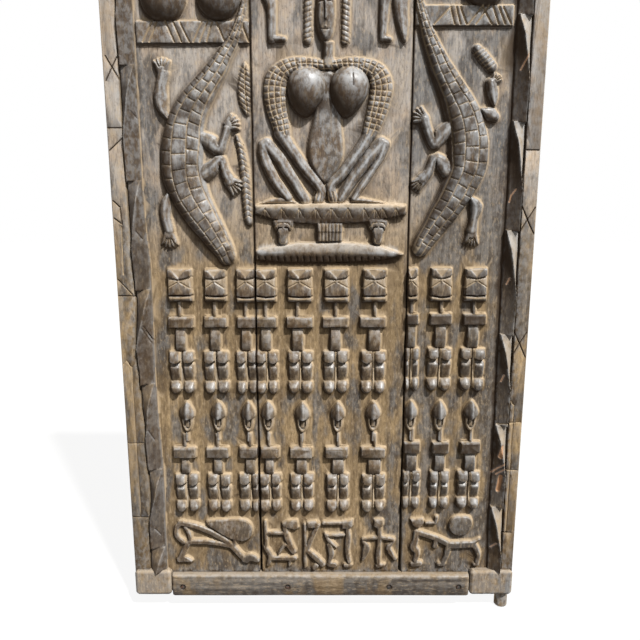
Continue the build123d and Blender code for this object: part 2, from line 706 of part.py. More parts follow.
def batten(level):
    """Ledge on the back of the planks, its outer edges eased."""
    with BuildPart() as ledge:
        add(
            slab(
                LEFT_EDGE + BATTEN_END_INSET,
                RIGHT_EDGE - BATTEN_END_INSET,
                FACE,
                FACE + BATTEN_THICKNESS,
                level - BATTEN_HEIGHT / 2,
                level + BATTEN_HEIGHT / 2,
            )
        )
        chamfer(ledge.faces().sort_by(Axis.Y)[-1].edges(), BATTEN_EDGE_CHAMFER)
        levels = [level - BATTEN_NAIL_PITCH / 2, level + BATTEN_NAIL_PITCH / 2]
        bores = nail_bores(BATTEN_NAIL_XS, levels, FACE, FACE + BATTEN_THICKNESS)
        add(bores, mode=Mode.SUBTRACT)
    return ledge.part


parts = {
    "plank_left": plank_left.part,
    "plank_centre": plank_centre.part,
    "plank_right": plank_right.part,
    "bottom_rail": rail(-RAIL_OVERHANG, RAIL_TOP, RAIL_NAIL_LEVELS[0]),
    "top_rail": rail(LEAF_HEIGHT + RAIL_OVERHANG, LEAF_HEIGHT - RAIL_TOP, RAIL_NAIL_LEVELS[1]),
}
for rail_name, level in zip(("bottom_rail_nails", "top_rail_nails"), RAIL_NAIL_LEVELS):
    nails = nail_row(RAIL_NAIL_XS, [level], RAIL_FACE + RAIL_NAIL_SINK, FACE, head_side=-1)
    parts[rail_name] = Compound(children=nails)
for place, level in BATTEN_LEVELS.items():
    parts[f"back_batten_{place}"] = batten(level)
    levels = [level - BATTEN_NAIL_PITCH / 2, level + BATTEN_NAIL_PITCH / 2]
    nails = nail_row(BATTEN_NAIL_XS, levels, FACE + BATTEN_THICKNESS, BATTEN_POINT, head_side=1)
    parts[f"{place}_batten_nails"] = Compound(children=nails)

os.makedirs("parts", exist_ok=True)
for name, part in parts.items():
    part.label = name
    export_step(part, f"parts/{name}.step")
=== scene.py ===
"""Looks of a carved granary door leaf: three carved planks, two rails, three ledges and their nails."""

import math

import bpy
import numpy as np
from bpy.props import FloatProperty, FloatVectorProperty, PointerProperty
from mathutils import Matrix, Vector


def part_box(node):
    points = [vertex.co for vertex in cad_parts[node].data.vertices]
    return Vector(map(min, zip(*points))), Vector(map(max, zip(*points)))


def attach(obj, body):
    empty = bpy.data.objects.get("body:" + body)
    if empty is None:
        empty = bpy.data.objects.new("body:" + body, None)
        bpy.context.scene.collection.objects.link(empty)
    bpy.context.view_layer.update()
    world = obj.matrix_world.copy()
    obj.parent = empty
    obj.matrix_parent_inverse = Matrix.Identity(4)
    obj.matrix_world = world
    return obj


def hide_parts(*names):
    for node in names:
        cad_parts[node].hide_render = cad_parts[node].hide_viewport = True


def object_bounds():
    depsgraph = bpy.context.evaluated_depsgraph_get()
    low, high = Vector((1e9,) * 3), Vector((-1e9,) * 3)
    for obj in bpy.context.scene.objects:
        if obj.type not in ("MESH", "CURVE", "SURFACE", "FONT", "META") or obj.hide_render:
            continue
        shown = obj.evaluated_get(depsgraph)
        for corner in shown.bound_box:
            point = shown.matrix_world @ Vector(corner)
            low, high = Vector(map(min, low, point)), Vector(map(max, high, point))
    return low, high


bl_info = {
    "name": "Carved granary door",
    "version": (1, 0, 0),
    "blender": (4, 5, 0),
    "location": "View3D > Sidebar > Granary door",
    "description": "Carves and finishes the planks, rails, ledges and nails of a granary door leaf",
    "category": "Add Mesh",
}

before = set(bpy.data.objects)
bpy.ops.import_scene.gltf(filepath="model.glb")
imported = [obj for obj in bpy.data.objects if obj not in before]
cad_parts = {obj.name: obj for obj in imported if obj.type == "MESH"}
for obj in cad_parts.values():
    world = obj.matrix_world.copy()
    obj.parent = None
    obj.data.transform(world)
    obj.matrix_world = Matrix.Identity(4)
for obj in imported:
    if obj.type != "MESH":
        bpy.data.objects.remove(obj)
CAD_LOW, CAD_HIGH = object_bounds()

MM = 0.001


def box_mm(node):
    """Lowest and highest corner of a node, in mm."""
    low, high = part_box(node)
    return np.array(low) / MM, np.array(high) / MM


# ---- The leaf. Places on its face are (u, h) in mm: u from its middle, h up from the carving's datum ----
LEFT_LOW, LEFT_HIGH = box_mm("plank_left")
CENTRE_LOW, CENTRE_HIGH = box_mm("plank_centre")
RIGHT_LOW, RIGHT_HIGH = box_mm("plank_right")
LEAF_X = (LEFT_LOW[0] + RIGHT_HIGH[0]) / 2
LEAF_TOP = LEFT_HIGH[2]
CARVING_DATUM = -15
FIELD_THICKNESS = 35
BACK_Y = LEFT_HIGH[1]
FIELD_Y = BACK_Y - FIELD_THICKNESS
TONGUE_DROP = 21  # of a tongue's face behind the field's
TONGUE_SHORT = 12  # from the leaf's end to the tongues' end
RAIL_COVER = 57  # from the leaf's end to the rails' inner edge
FOOT_HEIGHT = 70
FOOT_PROUD = 18  # of the feet over the field

# A form's outline is given as its top looks from EYE: across, up and out from the field's face
EYE_U, EYE_H, EYE_OUT = -10, 1040, 1446

# ---- Heights over the field ----
PLINTH = 2.2  # ledge of wood left round every form
SCENE = 10  # small scenes along the bottom
BAND = 7.5  # hatched bands
BAR = 15  # the ancestors' shoulder bars
HEAD = 17  # the ancestors' square heads
KEEL = 18  # the ancestors' helmets
BOSS = 36
PAW = 13
ARM = 17  # the seated figure's arms
LEG = 15  # its legs, and the crocodiles' legs
TORSO_FACE = 9
PLANT, SNAKE, POD = 9, 11, 13  # beside the crocodiles
STOOL = 18
POST = 15  # of the stool
TALL_DOME = 30  # a dome over this height has darkened sides

# Besides dust, grime and pale wear, these layers carry painted light, painted shadows and shade, and
# painted highlights
LAYERS = ("dust_and_light", "fresh", "grime", "pale", "form", "halo")  # of a carving, that colour its wood


def random_waves(u, h, wide, tall, seed):
    """Smooth random values from -1 to 1, in waves about wide by tall mm."""
    lattice = np.random.default_rng(seed).uniform(-1, 1, (64, 64))
    x, y = u / wide, h / tall
    column, row = np.floor(x).astype(int), np.floor(y).astype(int)
    across, up = x - column, y - row
    across = across * across * (3 - 2 * across)
    up = up * up * (3 - 2 * up)
    corner = [[lattice[(row + j) % 64, (column + i) % 64] for i in (0, 1)] for j in (0, 1)]
    low = corner[0][0] * (1 - across) + corner[0][1] * across
    high = corner[1][0] * (1 - across) + corner[1][1] * across
    return low * (1 - up) + high * up


def blurred(values, reach):
    """Values averaged over about reach grid steps each way, by three passes of a box."""
    width = max(1, int(reach))
    for axis in (0, 1):
        for _ in range(3):
            ends = [(width, width) if a == axis else (0, 0) for a in (0, 1)]
            total = np.cumsum(np.pad(values, ends, mode="edge"), axis=axis)
            first = np.take(total, [0], axis=axis) * 0
            total = np.concatenate([first, total], axis=axis)
            size = values.shape[axis]
            span = 2 * width + 1
            upper = np.take(total, np.arange(span, span + size), axis=axis)
            lower = np.take(total, np.arange(size), axis=axis)
            values = (upper - lower) / span
    return values


def rounded(depth, reach):
    """0 at an edge, rising over reach in a quarter round to 1."""
    return np.sin(np.clip(depth / reach, 0, 1) * math.pi / 2)


def smooth_step(values, low, high):
    """0 below low, 1 above high, smooth between."""
    step = np.clip((values - low) / (high - low), 0, 1)
    return step * step * (3 - 2 * step)


def hump(away, half):
    """1 where away is 0, falling in a curve to 0 at half to each side."""
    return np.clip(1 - (away / half) ** 2, 0, 1)


def between(values, rise_from, rise_to, fall_from, fall_to):
    """0, then 1 from the second to the third bound, then 0 again, smooth between."""
    return smooth_step(values, rise_from, rise_to) * (1 - smooth_step(values, fall_from, fall_to))


def curve(points, closed=False, steps=5):
    """Rows on the smooth curve through points; further columns, such as a half-width, run along."""
    points = np.array(points, float)
    count = len(points)
    rows = []
    for i in range(count if closed else count - 1):
        near = [(i + k) % count if closed else min(max(i + k, 0), count - 1) for k in (-1, 0, 1, 2)]
        a, b, c, d = points[near]
        for t in np.arange(steps) / steps:
            squared = (2 * a - 5 * b + 4 * c - d) * t**2
            cubed = (3 * b - a - 3 * c + d) * t**3
            rows.append(0.5 * (2 * b + (c - a) * t + squared + cubed))
    if not closed:
        rows.append(points[-1])
    return np.array(rows)


def follow(line, u, h):
    """For places u, h: distance from line, length run along it, offset to its side, half-width there."""
    best = np.full(u.shape, 1e9)
    run_there, side_there, half_there = np.zeros((3,) + u.shape)
    run = 0.0
    for start, end in zip(line, line[1:]):
        du, dh = end[0] - start[0], end[1] - start[1]
        span = max(math.hypot(du, dh), 1e-6)
        t = np.clip(((u - start[0]) * du + (h - start[1]) * dh) / span**2, 0, 1)
        away_u, away_h = u - start[0] - t * du, h - start[1] - t * dh
        away = np.hypot(away_u, away_h)
        near = away < best
        best[near] = away[near]
        run_there[near] = (run + t * span)[near]
        side_there[near] = ((away_h * du - away_u * dh) / span)[near]
        half_there[near] = (start[2] + t * (end[2] - start[2]))[near]
        run += span
    return best, run_there, side_there, half_there


def inside(outline, u, h):
    """Depth of places inside a closed outline, below zero outside it."""
    away = np.full(u.shape, 1e9)
    within = np.zeros(u.shape, bool)
    for start, end in zip(outline, np.roll(outline, -1, axis=0)):
        du, dh = end[0] - start[0], end[1] - start[1]
        t = np.clip(((u - start[0]) * du + (h - start[1]) * dh) / max(du**2 + dh**2, 1e-9), 0, 1)
        away = np.minimum(away, np.hypot(u - start[0] - t * du, h - start[1] - t * dh))
        crosses = (start[1] > h) != (end[1] > h)
        within ^= crosses & (u < start[0] + (h - start[1]) * du / (dh if dh else 1e-9))
    return np.where(within, away, -away)


def oblong(u_low, u_high, h_low, h_high):
    """Outline of an upright oblong."""
    return np.array([(u_low, h_low), (u_high, h_low), (u_high, h_high), (u_low, h_high)], float)


class Carving:
    """One board's worked face: heights in mm over its plain face, on a fine grid of places.

    Its layers say where the wood is dusty or given painted light, freshly broken, grimy or given painted
    shade and shadows, whitened by wear or given painted highlights, a raised form, or in the dusty halo
    round a form.
    """

    def __init__(self, u_ends, h_ends, fineness, seed, wobble=0.7):
        def stations(ends):
            return np.linspace(*ends, round((ends[1] - ends[0]) / fineness) + 1)

        self.u, self.h = stations(u_ends), stations(h_ends)
        self.seed = seed
        self.fineness = fineness
        flat_u, flat_h = np.meshgrid(self.u, self.h)
        self.hand_u = flat_u + wobble * random_waves(flat_u, flat_h, 23, 31, seed)
        self.hand_h = flat_h + wobble * random_waves(flat_u, flat_h, 29, 27, seed + 1)
        for layer in ("height",) + LAYERS:
            setattr(self, layer, np.zeros(flat_u.shape))
        self.cool = 0.3  # how grey the board has weathered, from 0 to 1

    def near(self, points, margin, top=0):
        """Part of the grid round points, and its places as a form of height top hides them from EYE."""
        low, high = np.min(points, 0)[:2] - margin - 8, np.max(points, 0)[:2] + margin + 8
        rows = slice(*np.searchsorted(self.h, (low[1], high[1])))
        columns = slice(*np.searchsorted(self.u, (low[0], high[0])))
        part = (rows, columns)
        u, h = self.hand_u[part], self.hand_h[part]
        return part, u + top * (u - EYE_U) / EYE_OUT, h + top * (h - EYE_H) / EYE_OUT

    def tint(self, layer, values, part=slice(None)):
        """Raises a layer to values wherever it is lower."""
        whole = getattr(self, layer)
        whole[part] = np.maximum(whole[part], values)

    def lift(self, part, height):
        """Leaves wood standing up to height."""
        self.tint("height", height, part)

    def limb(self, line, top, fullness=2.6, polish=0.75):
        """Round limb along line, whose rows are u, h and half-width; polish paints a highlight on its
        crest.
        """
        line = np.array(line, float)
        part, u, h = self.near(line, line[:, 2].max(), top)
        away, _, _, half = follow(line, u, h)
        height = top * np.sqrt(np.clip(1 - (away / half) ** fullness, 0, 1))
        # Painted highlight along the crest, where the limb stands above what is there
        crest = polish * np.clip(1.3 - away / (0.24 * half), 0, 1) * (height > self.height[part])
        self.lift(part, height)
        self.tint("pale", crest, part)

    def block(self, outline, top, edge=3.0, crown=0.0, crown_reach=14.0):
        """Flat or crowned form with a rounded edge."""
        outline = np.array(outline, float)
        part, u, h = self.near(outline, 2, top)
        depth = inside(outline, u, h)
        self.lift(part, top * rounded(depth, edge) + crown * rounded(depth, crown_reach))

    def dome(self, u_middle, h_middle, reach_u, reach_h, top, fullness=2.0):
        """Rounded boss over an oval."""
        ring = [(u_middle - reach_u, h_middle - reach_h), (u_middle + reach_u, h_middle + reach_h)]
        part, u, h = self.near(ring, 2)
        r = np.hypot((u - u_middle) / reach_u, (h - h_middle) / reach_h)
        self.lift(part, top * np.sqrt(np.clip(1 - r**fullness, 0, 1)))
        self.tint("grime", 0.45 * (r < 1) * (top > TALL_DOME), part)

    def cut(self, line, width, depth, top=0, dusty=1.0):
        """Narrow cut along line, in a form of height top."""
        line = np.array([tuple(row[:2]) + (width / 2,) for row in line], float)
        part, u, h = self.near(line, width, top)
        away = follow(line, u, h)[0]
        bite = hump(away, width / 2)
        self.height[part] -= depth * bite
        self.tint("dust_and_light", dusty * bite, part)

    def mark(self, layer, line, half, strength=1.0, top=0):
        """Colours a stretch along line, half to each side of it."""
        line = np.array([tuple(row[:2]) + (half,) for row in line], float)
        part, u, h = self.near(line, 2 * half, top)
        away = follow(line, u, h)[0]
        self.tint(layer, strength * (1 - smooth_step(away, half * 0.5, half * 1.3)), part)


# ---- Field: worked with an adze, hollow between the forms ----


def work_field(face, depth=0.55):
    """Adze hollows, long scraper tracks and a few dents, before any form is left standing."""
    u, h, seed = face.hand_u, face.hand_h, face.seed
    hollows = random_waves(u, h, 34, 60, seed + 2) + 0.6 * random_waves(u, h, 13, 38, seed + 3)
    tracks = np.abs(random_waves(u, h, 7, 160, seed + 4))
    fibres = random_waves(u, h, 2.6, 70, seed + 5)
    face.height += depth * hollows + 0.45 * depth * tracks + 0.28 * depth * fibres
    dents = random_waves(u, h, 9, 14, seed + 6)
    face.height -= 1.1 * depth * smooth_step(dents, 0.72, 0.95)


def leave_plinth(face, threshold=5.0, ledge=4.5):
    """Narrow ledge of wood left round every form, the places near it, and its painted shadow and lit rim.
    """
    standing = (face.height > threshold).astype(float)
    reach = ledge / face.fineness
    spread = blurred(standing, reach * 0.7)
    face.lift(slice(None), PLINTH * smooth_step(spread, 0.03, 0.11) * (face.height > -1))
    open_field = (face.height < threshold) * (face.height > -1)
    # Painted shadow: grime colour on the open field just below and left of each form, away from the key
    # lamp
    painted_shadow = blurred(np.roll(standing, (-3, -3), (0, 1)), 0.8) * open_field
    face.tint("grime", 0.62 * painted_shadow)
    # Painted lit rim: dust colour on the open field just above and right of each form, towards the key lamp
    painted_lit_rim = blurred(np.roll(standing, (2, 2), (0, 1)), 0.6) * open_field * (1 - painted_shadow)
    face.tint("dust_and_light", 0.75 * painted_lit_rim)
    near = smooth_step(blurred(standing, 5 / face.fineness), 0.02, 0.3)
    face.halo = 0.55 * near + 0.45 * smooth_step(blurred(standing, 15 / face.fineness), 0.02, 0.35)
    face.form = blurred(standing, 1)


# ---- Rows of seated ancestors ----
# Each column gives places across: the head's two sides, the bar's, the torso's and the legs' middle
UPPER_LEFT = [(-382, -324, -385, -323, -366, -343, -356), (-292, -240, -297, -240, -280, -257, -270),
              (-215, -167, -215, -167, -203, -182, -193)]
UPPER_CENTRE = [(-167, -118, -167, -118, -155, -132, -142), (-90, -30, -93, -28, -78, -53, -59),
                (0, 60, -5, 60, 16, 40, 29), (95, 152, 88, 152, 110, 138, 123)]
UPPER_RIGHT = [(196, 229, 196, 233, 206, 225, 217), (260, 312, 260, 315, 274, 300, 288),
               (343, 398, 343, 400, 354, 380, 371)]
LOWER_LEFT = [(-371, -329, -388, -330, -366, -346, -356), (-291, -249, -303, -245, -283, -262, -272),
              (-213, -173, -218, -170, -200, -178, -190)]
LOWER_CENTRE = [(-162, -122, -163, -115, -150, -130, -139), (-76, -34, -88, -30, -70, -45, -57),
                (14, 56, 3, 62, 22, 50, 37), (104, 146, 95, 158, 115, 145, 129)]
LOWER_RIGHT = [(202, 240, 203, 247, 212, 238, 225), (274, 316, 278, 322, 285, 310, 299),
               (354, 396, 350, 402, 362, 388, 376)]
MASK_LEVELS = (801, 882)  # chin and crown of the square heads
HELMET_TOP = 543
UPPER_BODY_LEVELS = (737, 765, 678, 568)  # bar's lower and upper edge, knees and soles
LOWER_BODY_LEVELS = (394, 424, 350, 245)
LEG_WIDTH = 28
LEG_GAP = 5
ROW_RISE_RIGHT = 8  # of the right plank's rows over the others


def mask_head(face, u_low, u_high, h_low, h_high):
    """Square mask: V in the brow, slit eyes, cheeks over a straight mouth and a plain chin."""
    rng = np.random.default_rng(int(abs(u_low) * 7 + h_low))
    middle, half = (u_low + u_high) / 2 + rng.uniform(-1, 1), (u_high - u_low) / 2
    outline = oblong(u_low, u_high, h_low, h_high)
    face.block(outline, HEAD, edge=3.2, crown=1.6, crown_reach=24)
    part, u, h = face.near(outline, 0, HEAD)
    x, y = np.clip(np.abs(u - middle) / half, 0, 1.2), h_high - h
    on_head = inside(outline, u, h) > 0.5
    notch = smooth_step(0.74 - x - y / 31, 0, 0.16) * on_head * (y > 2)
    face.height[part] -= 4.2 * notch
    face.tint("dust_and_light", 0.5 * notch, part)
    brow = 25 - 7 * x**1.4
    cheek = 30 + 17 * x
    socket = between(y, brow, brow + 2, cheek - 2, cheek + 1) * on_head
    face.height[part] -= socket * (1.5 + 4.5 * x * (1 - np.clip((y - brow) / (cheek - brow), 0, 1)))
    face.tint("dust_and_light", 0.45 * socket, part)
    for side in (-1, 1):
        reach = side * half
        brow_line = [(middle + reach * s, h_high - 25.5 + 7 * s**1.4) for s in (0.1, 0.4, 0.7, 1.02)]
        face.cut(brow_line, 4.6, 5.0, HEAD, dusty=0.2)
        cheek_line = [(middle + reach * s, h_high - 30 - 17 * s) for s in (0.12, 0.55, 1.02)]
        face.cut(cheek_line, 4.4, 3.6, HEAD, dusty=0.7)
    mouth = h_low + 14 + rng.uniform(-1, 1)
    sag = rng.uniform(-2.5, 1)
    mouth_line = [(u_low + 1, mouth + 1.5), (middle, mouth + sag), (u_high, mouth + 1.5 + sag / 2)]
    face.cut(mouth_line, 5.2, 6.5, HEAD, dusty=0)
    # Painted shade in the mouth cut
    face.mark("grime", mouth_line, 2.2, 0.9, HEAD)
    # Painted light, in dust colour, on the lip just below the mouth
    lip = [(row[0], row[1] - 4.5) for row in mouth_line]
    face.mark("dust_and_light", lip, 2.2, 0.75, HEAD)
    part, u, h = face.near(oblong(u_low, u_high, h_low, h_low + 9), 0, HEAD)
    chin = (h < h_low + 8) & (face.height[part] > 5)
    face.height[part] -= chin * 3.2 * smooth_step(h_low + 8 - h, 0, 8)


def helmet_head(face, u_low, u_high, h_top):
    """Egg-shaped head: keeled helmet with a bowed brim over a flat face in a looped jaw."""
    middle, wide = (u_low + u_high) / 2, (u_high - u_low) / 40
    right_half = [(6, -4), (12, -12), (17, -24), (18, -35), (15, -46), (13, -58), (10, -70), (5, -80)]
    left_half = [(-x, y) for x, y in reversed(right_half)]
    egg = curve([(0, 1)] + right_half + [(0, -83)] + left_half, closed=True, steps=3)
    egg = egg * (wide, 1) + (middle, h_top)
    face.limb([(middle, h_top - 78, 3.5), (middle, h_top - 100, 4.5)], 8)
    part, u, h = face.near(egg, 2, KEEL)
    depth = inside(egg, u, h)
    x, y = (u - middle) / (20 * wide), h_top - h
    brim = 32 + 12 * np.sqrt(hump(x, 1))
    helmet = KEEL * np.sqrt(rounded(depth, 19)) + 4.5 * np.clip(1 - np.abs(x - 0.04) * 2.2, 0, 1)
    jaw = 9 * rounded(depth, 6)
    loop = np.hypot(x / 0.50, np.clip(y - 55, 0, None) / 19)
    jaw += 3.2 * hump(loop - 1, 0.28) * (y < 82)
    jaw -= 3.4 * smooth_step(0.82 - loop, 0, 0.1)
    jaw += 3.6 * smooth_step(0.26 - np.abs(x), 0, 0.1) * (y < 66)
    under_brim = smooth_step(y, brim, brim + 2)
    height = (helmet * (1 - under_brim) + jaw * under_brim) * (depth > 0)
    face.lift(part, height)
    front = under_brim * (depth > 0)
    # Painted shade: darker in the sunk face inside the jaw's loop and just under the brim
    face.tint("grime", front * 0.35 * smooth_step(0.85 - loop, 0, 0.2), part)
    face.tint("grime", front * 0.85 * (1 - smooth_step(y - brim, 2, 5)), part)
    # Painted highlight along the helmet's keel
    ridge = (1 - under_brim) * (depth > 0) * np.clip(1 - np.abs(x - 0.06) * 3.2, 0, 1) * (y > 4)
    face.tint("pale", 0.55 * ridge, part)
    # Dust colour as a painted highlight on the raised jaw rim and nose
    rim = hump(loop - 1, 0.26) * front * (y < 82)
    nose = smooth_step(0.26 - np.abs(x), 0, 0.1) * (y < 66) * (y > brim + 5)
    face.tint("dust_and_light", 0.6 * rim * front, part)
    face.tint("dust_and_light", 0.5 * nose * front, part)


def drawn_up_leg(face, u_low, u_high, h_low, h_high, rng):
    """Knee that overhangs in a smile-shaped edge, a shin swelling below it and a foot like a drop."""
    outline = oblong(u_low, u_high, h_low, h_high)
    part, u, h = face.near(outline, 2, 14)
    y = (h_high - h + rng.uniform(-1.5, 1.5)) / (h_high - h_low)
    x = (u - (u_low + u_high) / 2) / ((u_high - u_low) / 2)
    bow = 1 - np.clip(x, -1, 1) ** 2
    knee_end = 0.205 + 0.055 * bow + rng.uniform(-0.012, 0.012)
    knee = np.interp(y, (0, 0.02, 0.07, 0.17, 0.3), (3, 9, 15.5, 18.5, 20))
    knee *= 1 - smooth_step(y, knee_end, knee_end + 0.016)
    down = np.clip((y - 0.255) / 0.445, 0, 1)
    shin = np.interp(down, (0, 0.05, 0.28, 0.6, 1.0), (0, 5, 15, 11, 4)) * (down < 1)
    shin *= np.clip(1 - np.abs(x / (1 - 0.12 * down)) ** 7, 0, 1) ** 0.5
    foot_start = 0.715 - 0.02 * bow
    foot_down = (y - foot_start) / (1 - foot_start)
    foot = np.interp(foot_down, (-0.02, 0.03, 0.5, 0.8), (0, 6, 18, 20))
    ball = np.clip((foot_down - 0.35) / 0.65, 0, 1)
    foot *= np.clip(1 - np.hypot(ball, x * (ball > 0) * 0.95) ** 7, 0, 1) ** 0.5
    across = np.clip(1 - np.abs(x) ** 9, 0, 1) ** 0.5 * (1 - 0.12 * np.abs(np.clip(x, -1, 1) - 0.2))
    whole = np.maximum(np.maximum(knee, foot), shin) * across * (y > -0.01)
    shows = whole > face.height[part]
    face.lift(part, whole)
    # Painted highlights on the tops of knee, shin and foot, which face the key lamp
    crest = rng.uniform(0.05, 0.55) * hump(x - 0.2, 0.7) * shows
    face.tint("pale", crest * between(y, 0.04, 0.10, 0.14, 0.20), part)
    face.tint("pale", crest * 0.5 * between(foot_down, 0.05, 0.2, 0.45, 0.65), part)
    face.tint("pale", crest * 0.8 * between(down, 0.05, 0.15, 0.25, 0.40), part)


def ancestor_body(face, column, bar_low, bar_high, legs_top, legs_low, rng):
    """Neck, shoulder bar, torso and a pair of drawn-up legs."""
    _, _, bar_left, bar_right, torso_left, torso_right, legs = column
    torso = (torso_left + torso_right) / 2
    face.block(oblong(torso - 5, torso + 5, bar_high - 6, bar_high + 40), 7.5, edge=3)
    bar = oblong(bar_left, bar_right, bar_low, bar_high)
    bar[:, 1] += rng.uniform(-1, 1, 4)
    face.block(bar, BAR, edge=2.6)
    part, u, h = face.near(bar, 0, BAR)
    depth = inside(bar, u, h)
    eased = smooth_step(h, bar_high - 8, bar_high) * (depth > 0)
    face.height[part] -= 4.5 * eased**2
    face.tint("grime", 1.4 * face.cool**2 * smooth_step(depth, 1, 5), part)
    outline = oblong(torso_left - 2, torso_right + 2, legs_top - 1, bar_low + 2)
    part, u, h = face.near(outline, 2, 8)
    belly = (h - legs_top) / (bar_low - legs_top)
    swell = 5 + 8.5 * np.sin(math.pi * np.clip(belly, 0, 1)) ** 0.8
    face.lift(part, swell * rounded(inside(outline, u, h), 3.5))
    for side in (-1, 1):
        low_u, high_u = sorted((legs + side * LEG_GAP / 2, legs + side * (LEG_WIDTH + LEG_GAP / 2)))
        low_u, high_u = max(low_u, bar_left - 4), min(high_u, bar_right + 3)
        drawn_up_leg(face, low_u, high_u, legs_low, legs_top, rng)
    face.limb([(legs, legs_top - 2, 2.6), (legs, legs_low + 14, 2.6)], 5.5, 4)
    face.mark("dust_and_light", [(legs, legs_top), (legs, legs_low + 12)], 2.4, 0.9)


def ancestor_rows(face, upper, lower, rise):
    """Upper row with square heads and lower row with helmets, raised a little by rise."""
    rng = np.random.default_rng(face.seed + 40)
    chin, crown = MASK_LEVELS
    bar_low, bar_high, legs_top, legs_low = UPPER_BODY_LEVELS
    for column in upper:
        mask_head(face, column[0], column[1], chin + rise / 4 + rng.uniform(-2, 1), crown + rise / 3)
        levels = (bar_low + rise, bar_high + rise, legs_top + rise, legs_low + rise)
        ancestor_body(face, column, *levels, rng)
    bar_low, bar_high, legs_top, legs_low = LOWER_BODY_LEVELS
    for column in lower:
        helmet_head(face, column[0], column[1], HELMET_TOP + rise / 2 + rng.uniform(-2, 2))
        levels = (bar_low + rise * 1.6, bar_high + rise * 1.8, legs_top + rise, legs_low + rise)
        ancestor_body(face, column, *levels, rng)


def frieze(face, columns, level):
    """Row of masks along the leaf's top."""
    for column in columns:
        mask_head(face, column[0], column[1], level - FRIEZE_HALF, level + FRIEZE_HALF)


# ---- Hatched bands and bosses ----
BAND_LEVELS = {"left": (1393, 1441), "right": (1430, 1474)}
TOP_BAND = (1575, 1619)
FRIEZE_LEVEL = 1674
FRIEZE_HALF = 41


def hatched_band(face, u_low, u_high, levels, strokes):
    """Flat band with slanting cuts; each stroke is the places of its foot and top along the band."""
    low, high = levels
    face.block(oblong(u_low, u_high, low, high), BAND, edge=2.2)
    for foot, top in strokes:
        face.cut([(foot, low + 4), (top, high - 3)], 5.2, 3.4, BAND)


def stroke_run(u_low, u_high, pitch, seed):
    """Groups of slanting strokes, leaning one way and then the other."""
    rng = np.random.default_rng(seed)
    strokes = []
    u, lean, left = u_low + pitch, 1, 3
    while u < u_high - 30:
        strokes.append((u, u + lean * rng.uniform(20, 27)))
        left -= 1
        u += pitch * rng.uniform(0.9, 1.15)
        if left == 0:
            lean, left = -lean, rng.integers(2, 4)
            u += pitch * 1.5
    return strokes


# ---- Crocodiles ----
# Rows are u, h and half-width, from the tail's tip to the snout
LEFT_CROCODILE = [(-173, 1516, 6), (-178, 1490, 8), (-190, 1445, 11), (-207, 1405, 15), (-228, 1370, 20),
                  (-251, 1335, 26), (-277, 1300, 31), (-304, 1262, 38), (-322, 1222, 44), (-331, 1180, 50),
                  (-334, 1140, 51), (-331, 1100, 51), (-318, 1058, 46), (-294, 1012, 40), (-266, 967, 33),
                  (-244, 932, 26), (-236, 914, 22)]
RIGHT_CROCODILE = [(205, 1512, 9), (210, 1490, 11), (219, 1460, 13), (231, 1425, 16), (248, 1385, 20),
                   (270, 1340, 26), (294, 1295, 33), (317, 1250, 41), (332, 1205, 46), (338, 1160, 48),
                   (335, 1118, 46), (317, 1076, 41), (293, 1030, 35), (266, 988, 29), (243, 952, 25),
                   (233, 934, 22)]
SCALE_BORDERS = (-0.74, -0.2, 0.46)  # of the columns of scales, as shares of the half-width
# Each column's pace of scales against the middle one's, where its first scale starts, and its slant
SCALE_COLUMNS = ((1.0, 0.0, 0.0), (1.0, 0.35, 0.12), (1.0, 0.0, -0.1), (1.25, 0.55, 0.16))
SCALE_LENGTH = 13  # of a scale where the body is narrowest
SCALE_GROWTH = 0.40  # of a scale's length with the half-width
SCALE_CUT_HALF = 1.9


def scales(line, run, share, half, seed):
    """Cuts between a crocodile's scales, from 0 to 1, and a tone from -1 to 1 for each scale."""
    paces = np.concatenate([[0], np.cumsum(np.hypot(*np.diff(line[:, :2], axis=0).T))])
    middles = (line[1:, 2] + line[:-1, 2]) / 2
    tiles = np.concatenate([[0], np.cumsum(np.diff(paces) / (SCALE_LENGTH + SCALE_GROWTH * middles))])
    count = np.interp(run, paces, tiles)
    pitch = SCALE_LENGTH + SCALE_GROWTH * half
    wide = half > 10.5
    cuts, tone = np.zeros((2,) + share.shape)
    for border in SCALE_BORDERS:
        bend = 0.04 * np.sin(run / 31 + border * 9)
        cut = hump((share - border - bend) * half, SCALE_CUT_HALF)
        cuts = np.maximum(cuts, cut * (wide | (border == SCALE_BORDERS[1])))
    tones = np.random.default_rng(seed).uniform(-1, 1, 97)
    edges = (-1.2,) + SCALE_BORDERS + (1.2,)
    for index, (low, high) in enumerate(zip(edges, edges[1:])):
        in_column = (share > low) & (share <= high)
        if index == 0:
            in_column &= ~wide
        pace, phase, slant = SCALE_COLUMNS[index]
        beat = count * pace + phase + slant * share
        beat += 0.09 * random_waves(count * 10, share * 0 + index * 50, 7, 10, seed + index)
        gap = np.abs((beat + 0.5) % 1 - 0.5) * pitch
        cuts = np.maximum(cuts, hump(gap, SCALE_CUT_HALF) * in_column)
        scale = np.floor(beat + 0.5).astype(int) * 5 + index * 31
        tone = np.where(in_column, tones[scale % 97], tone)
    return cuts, tone


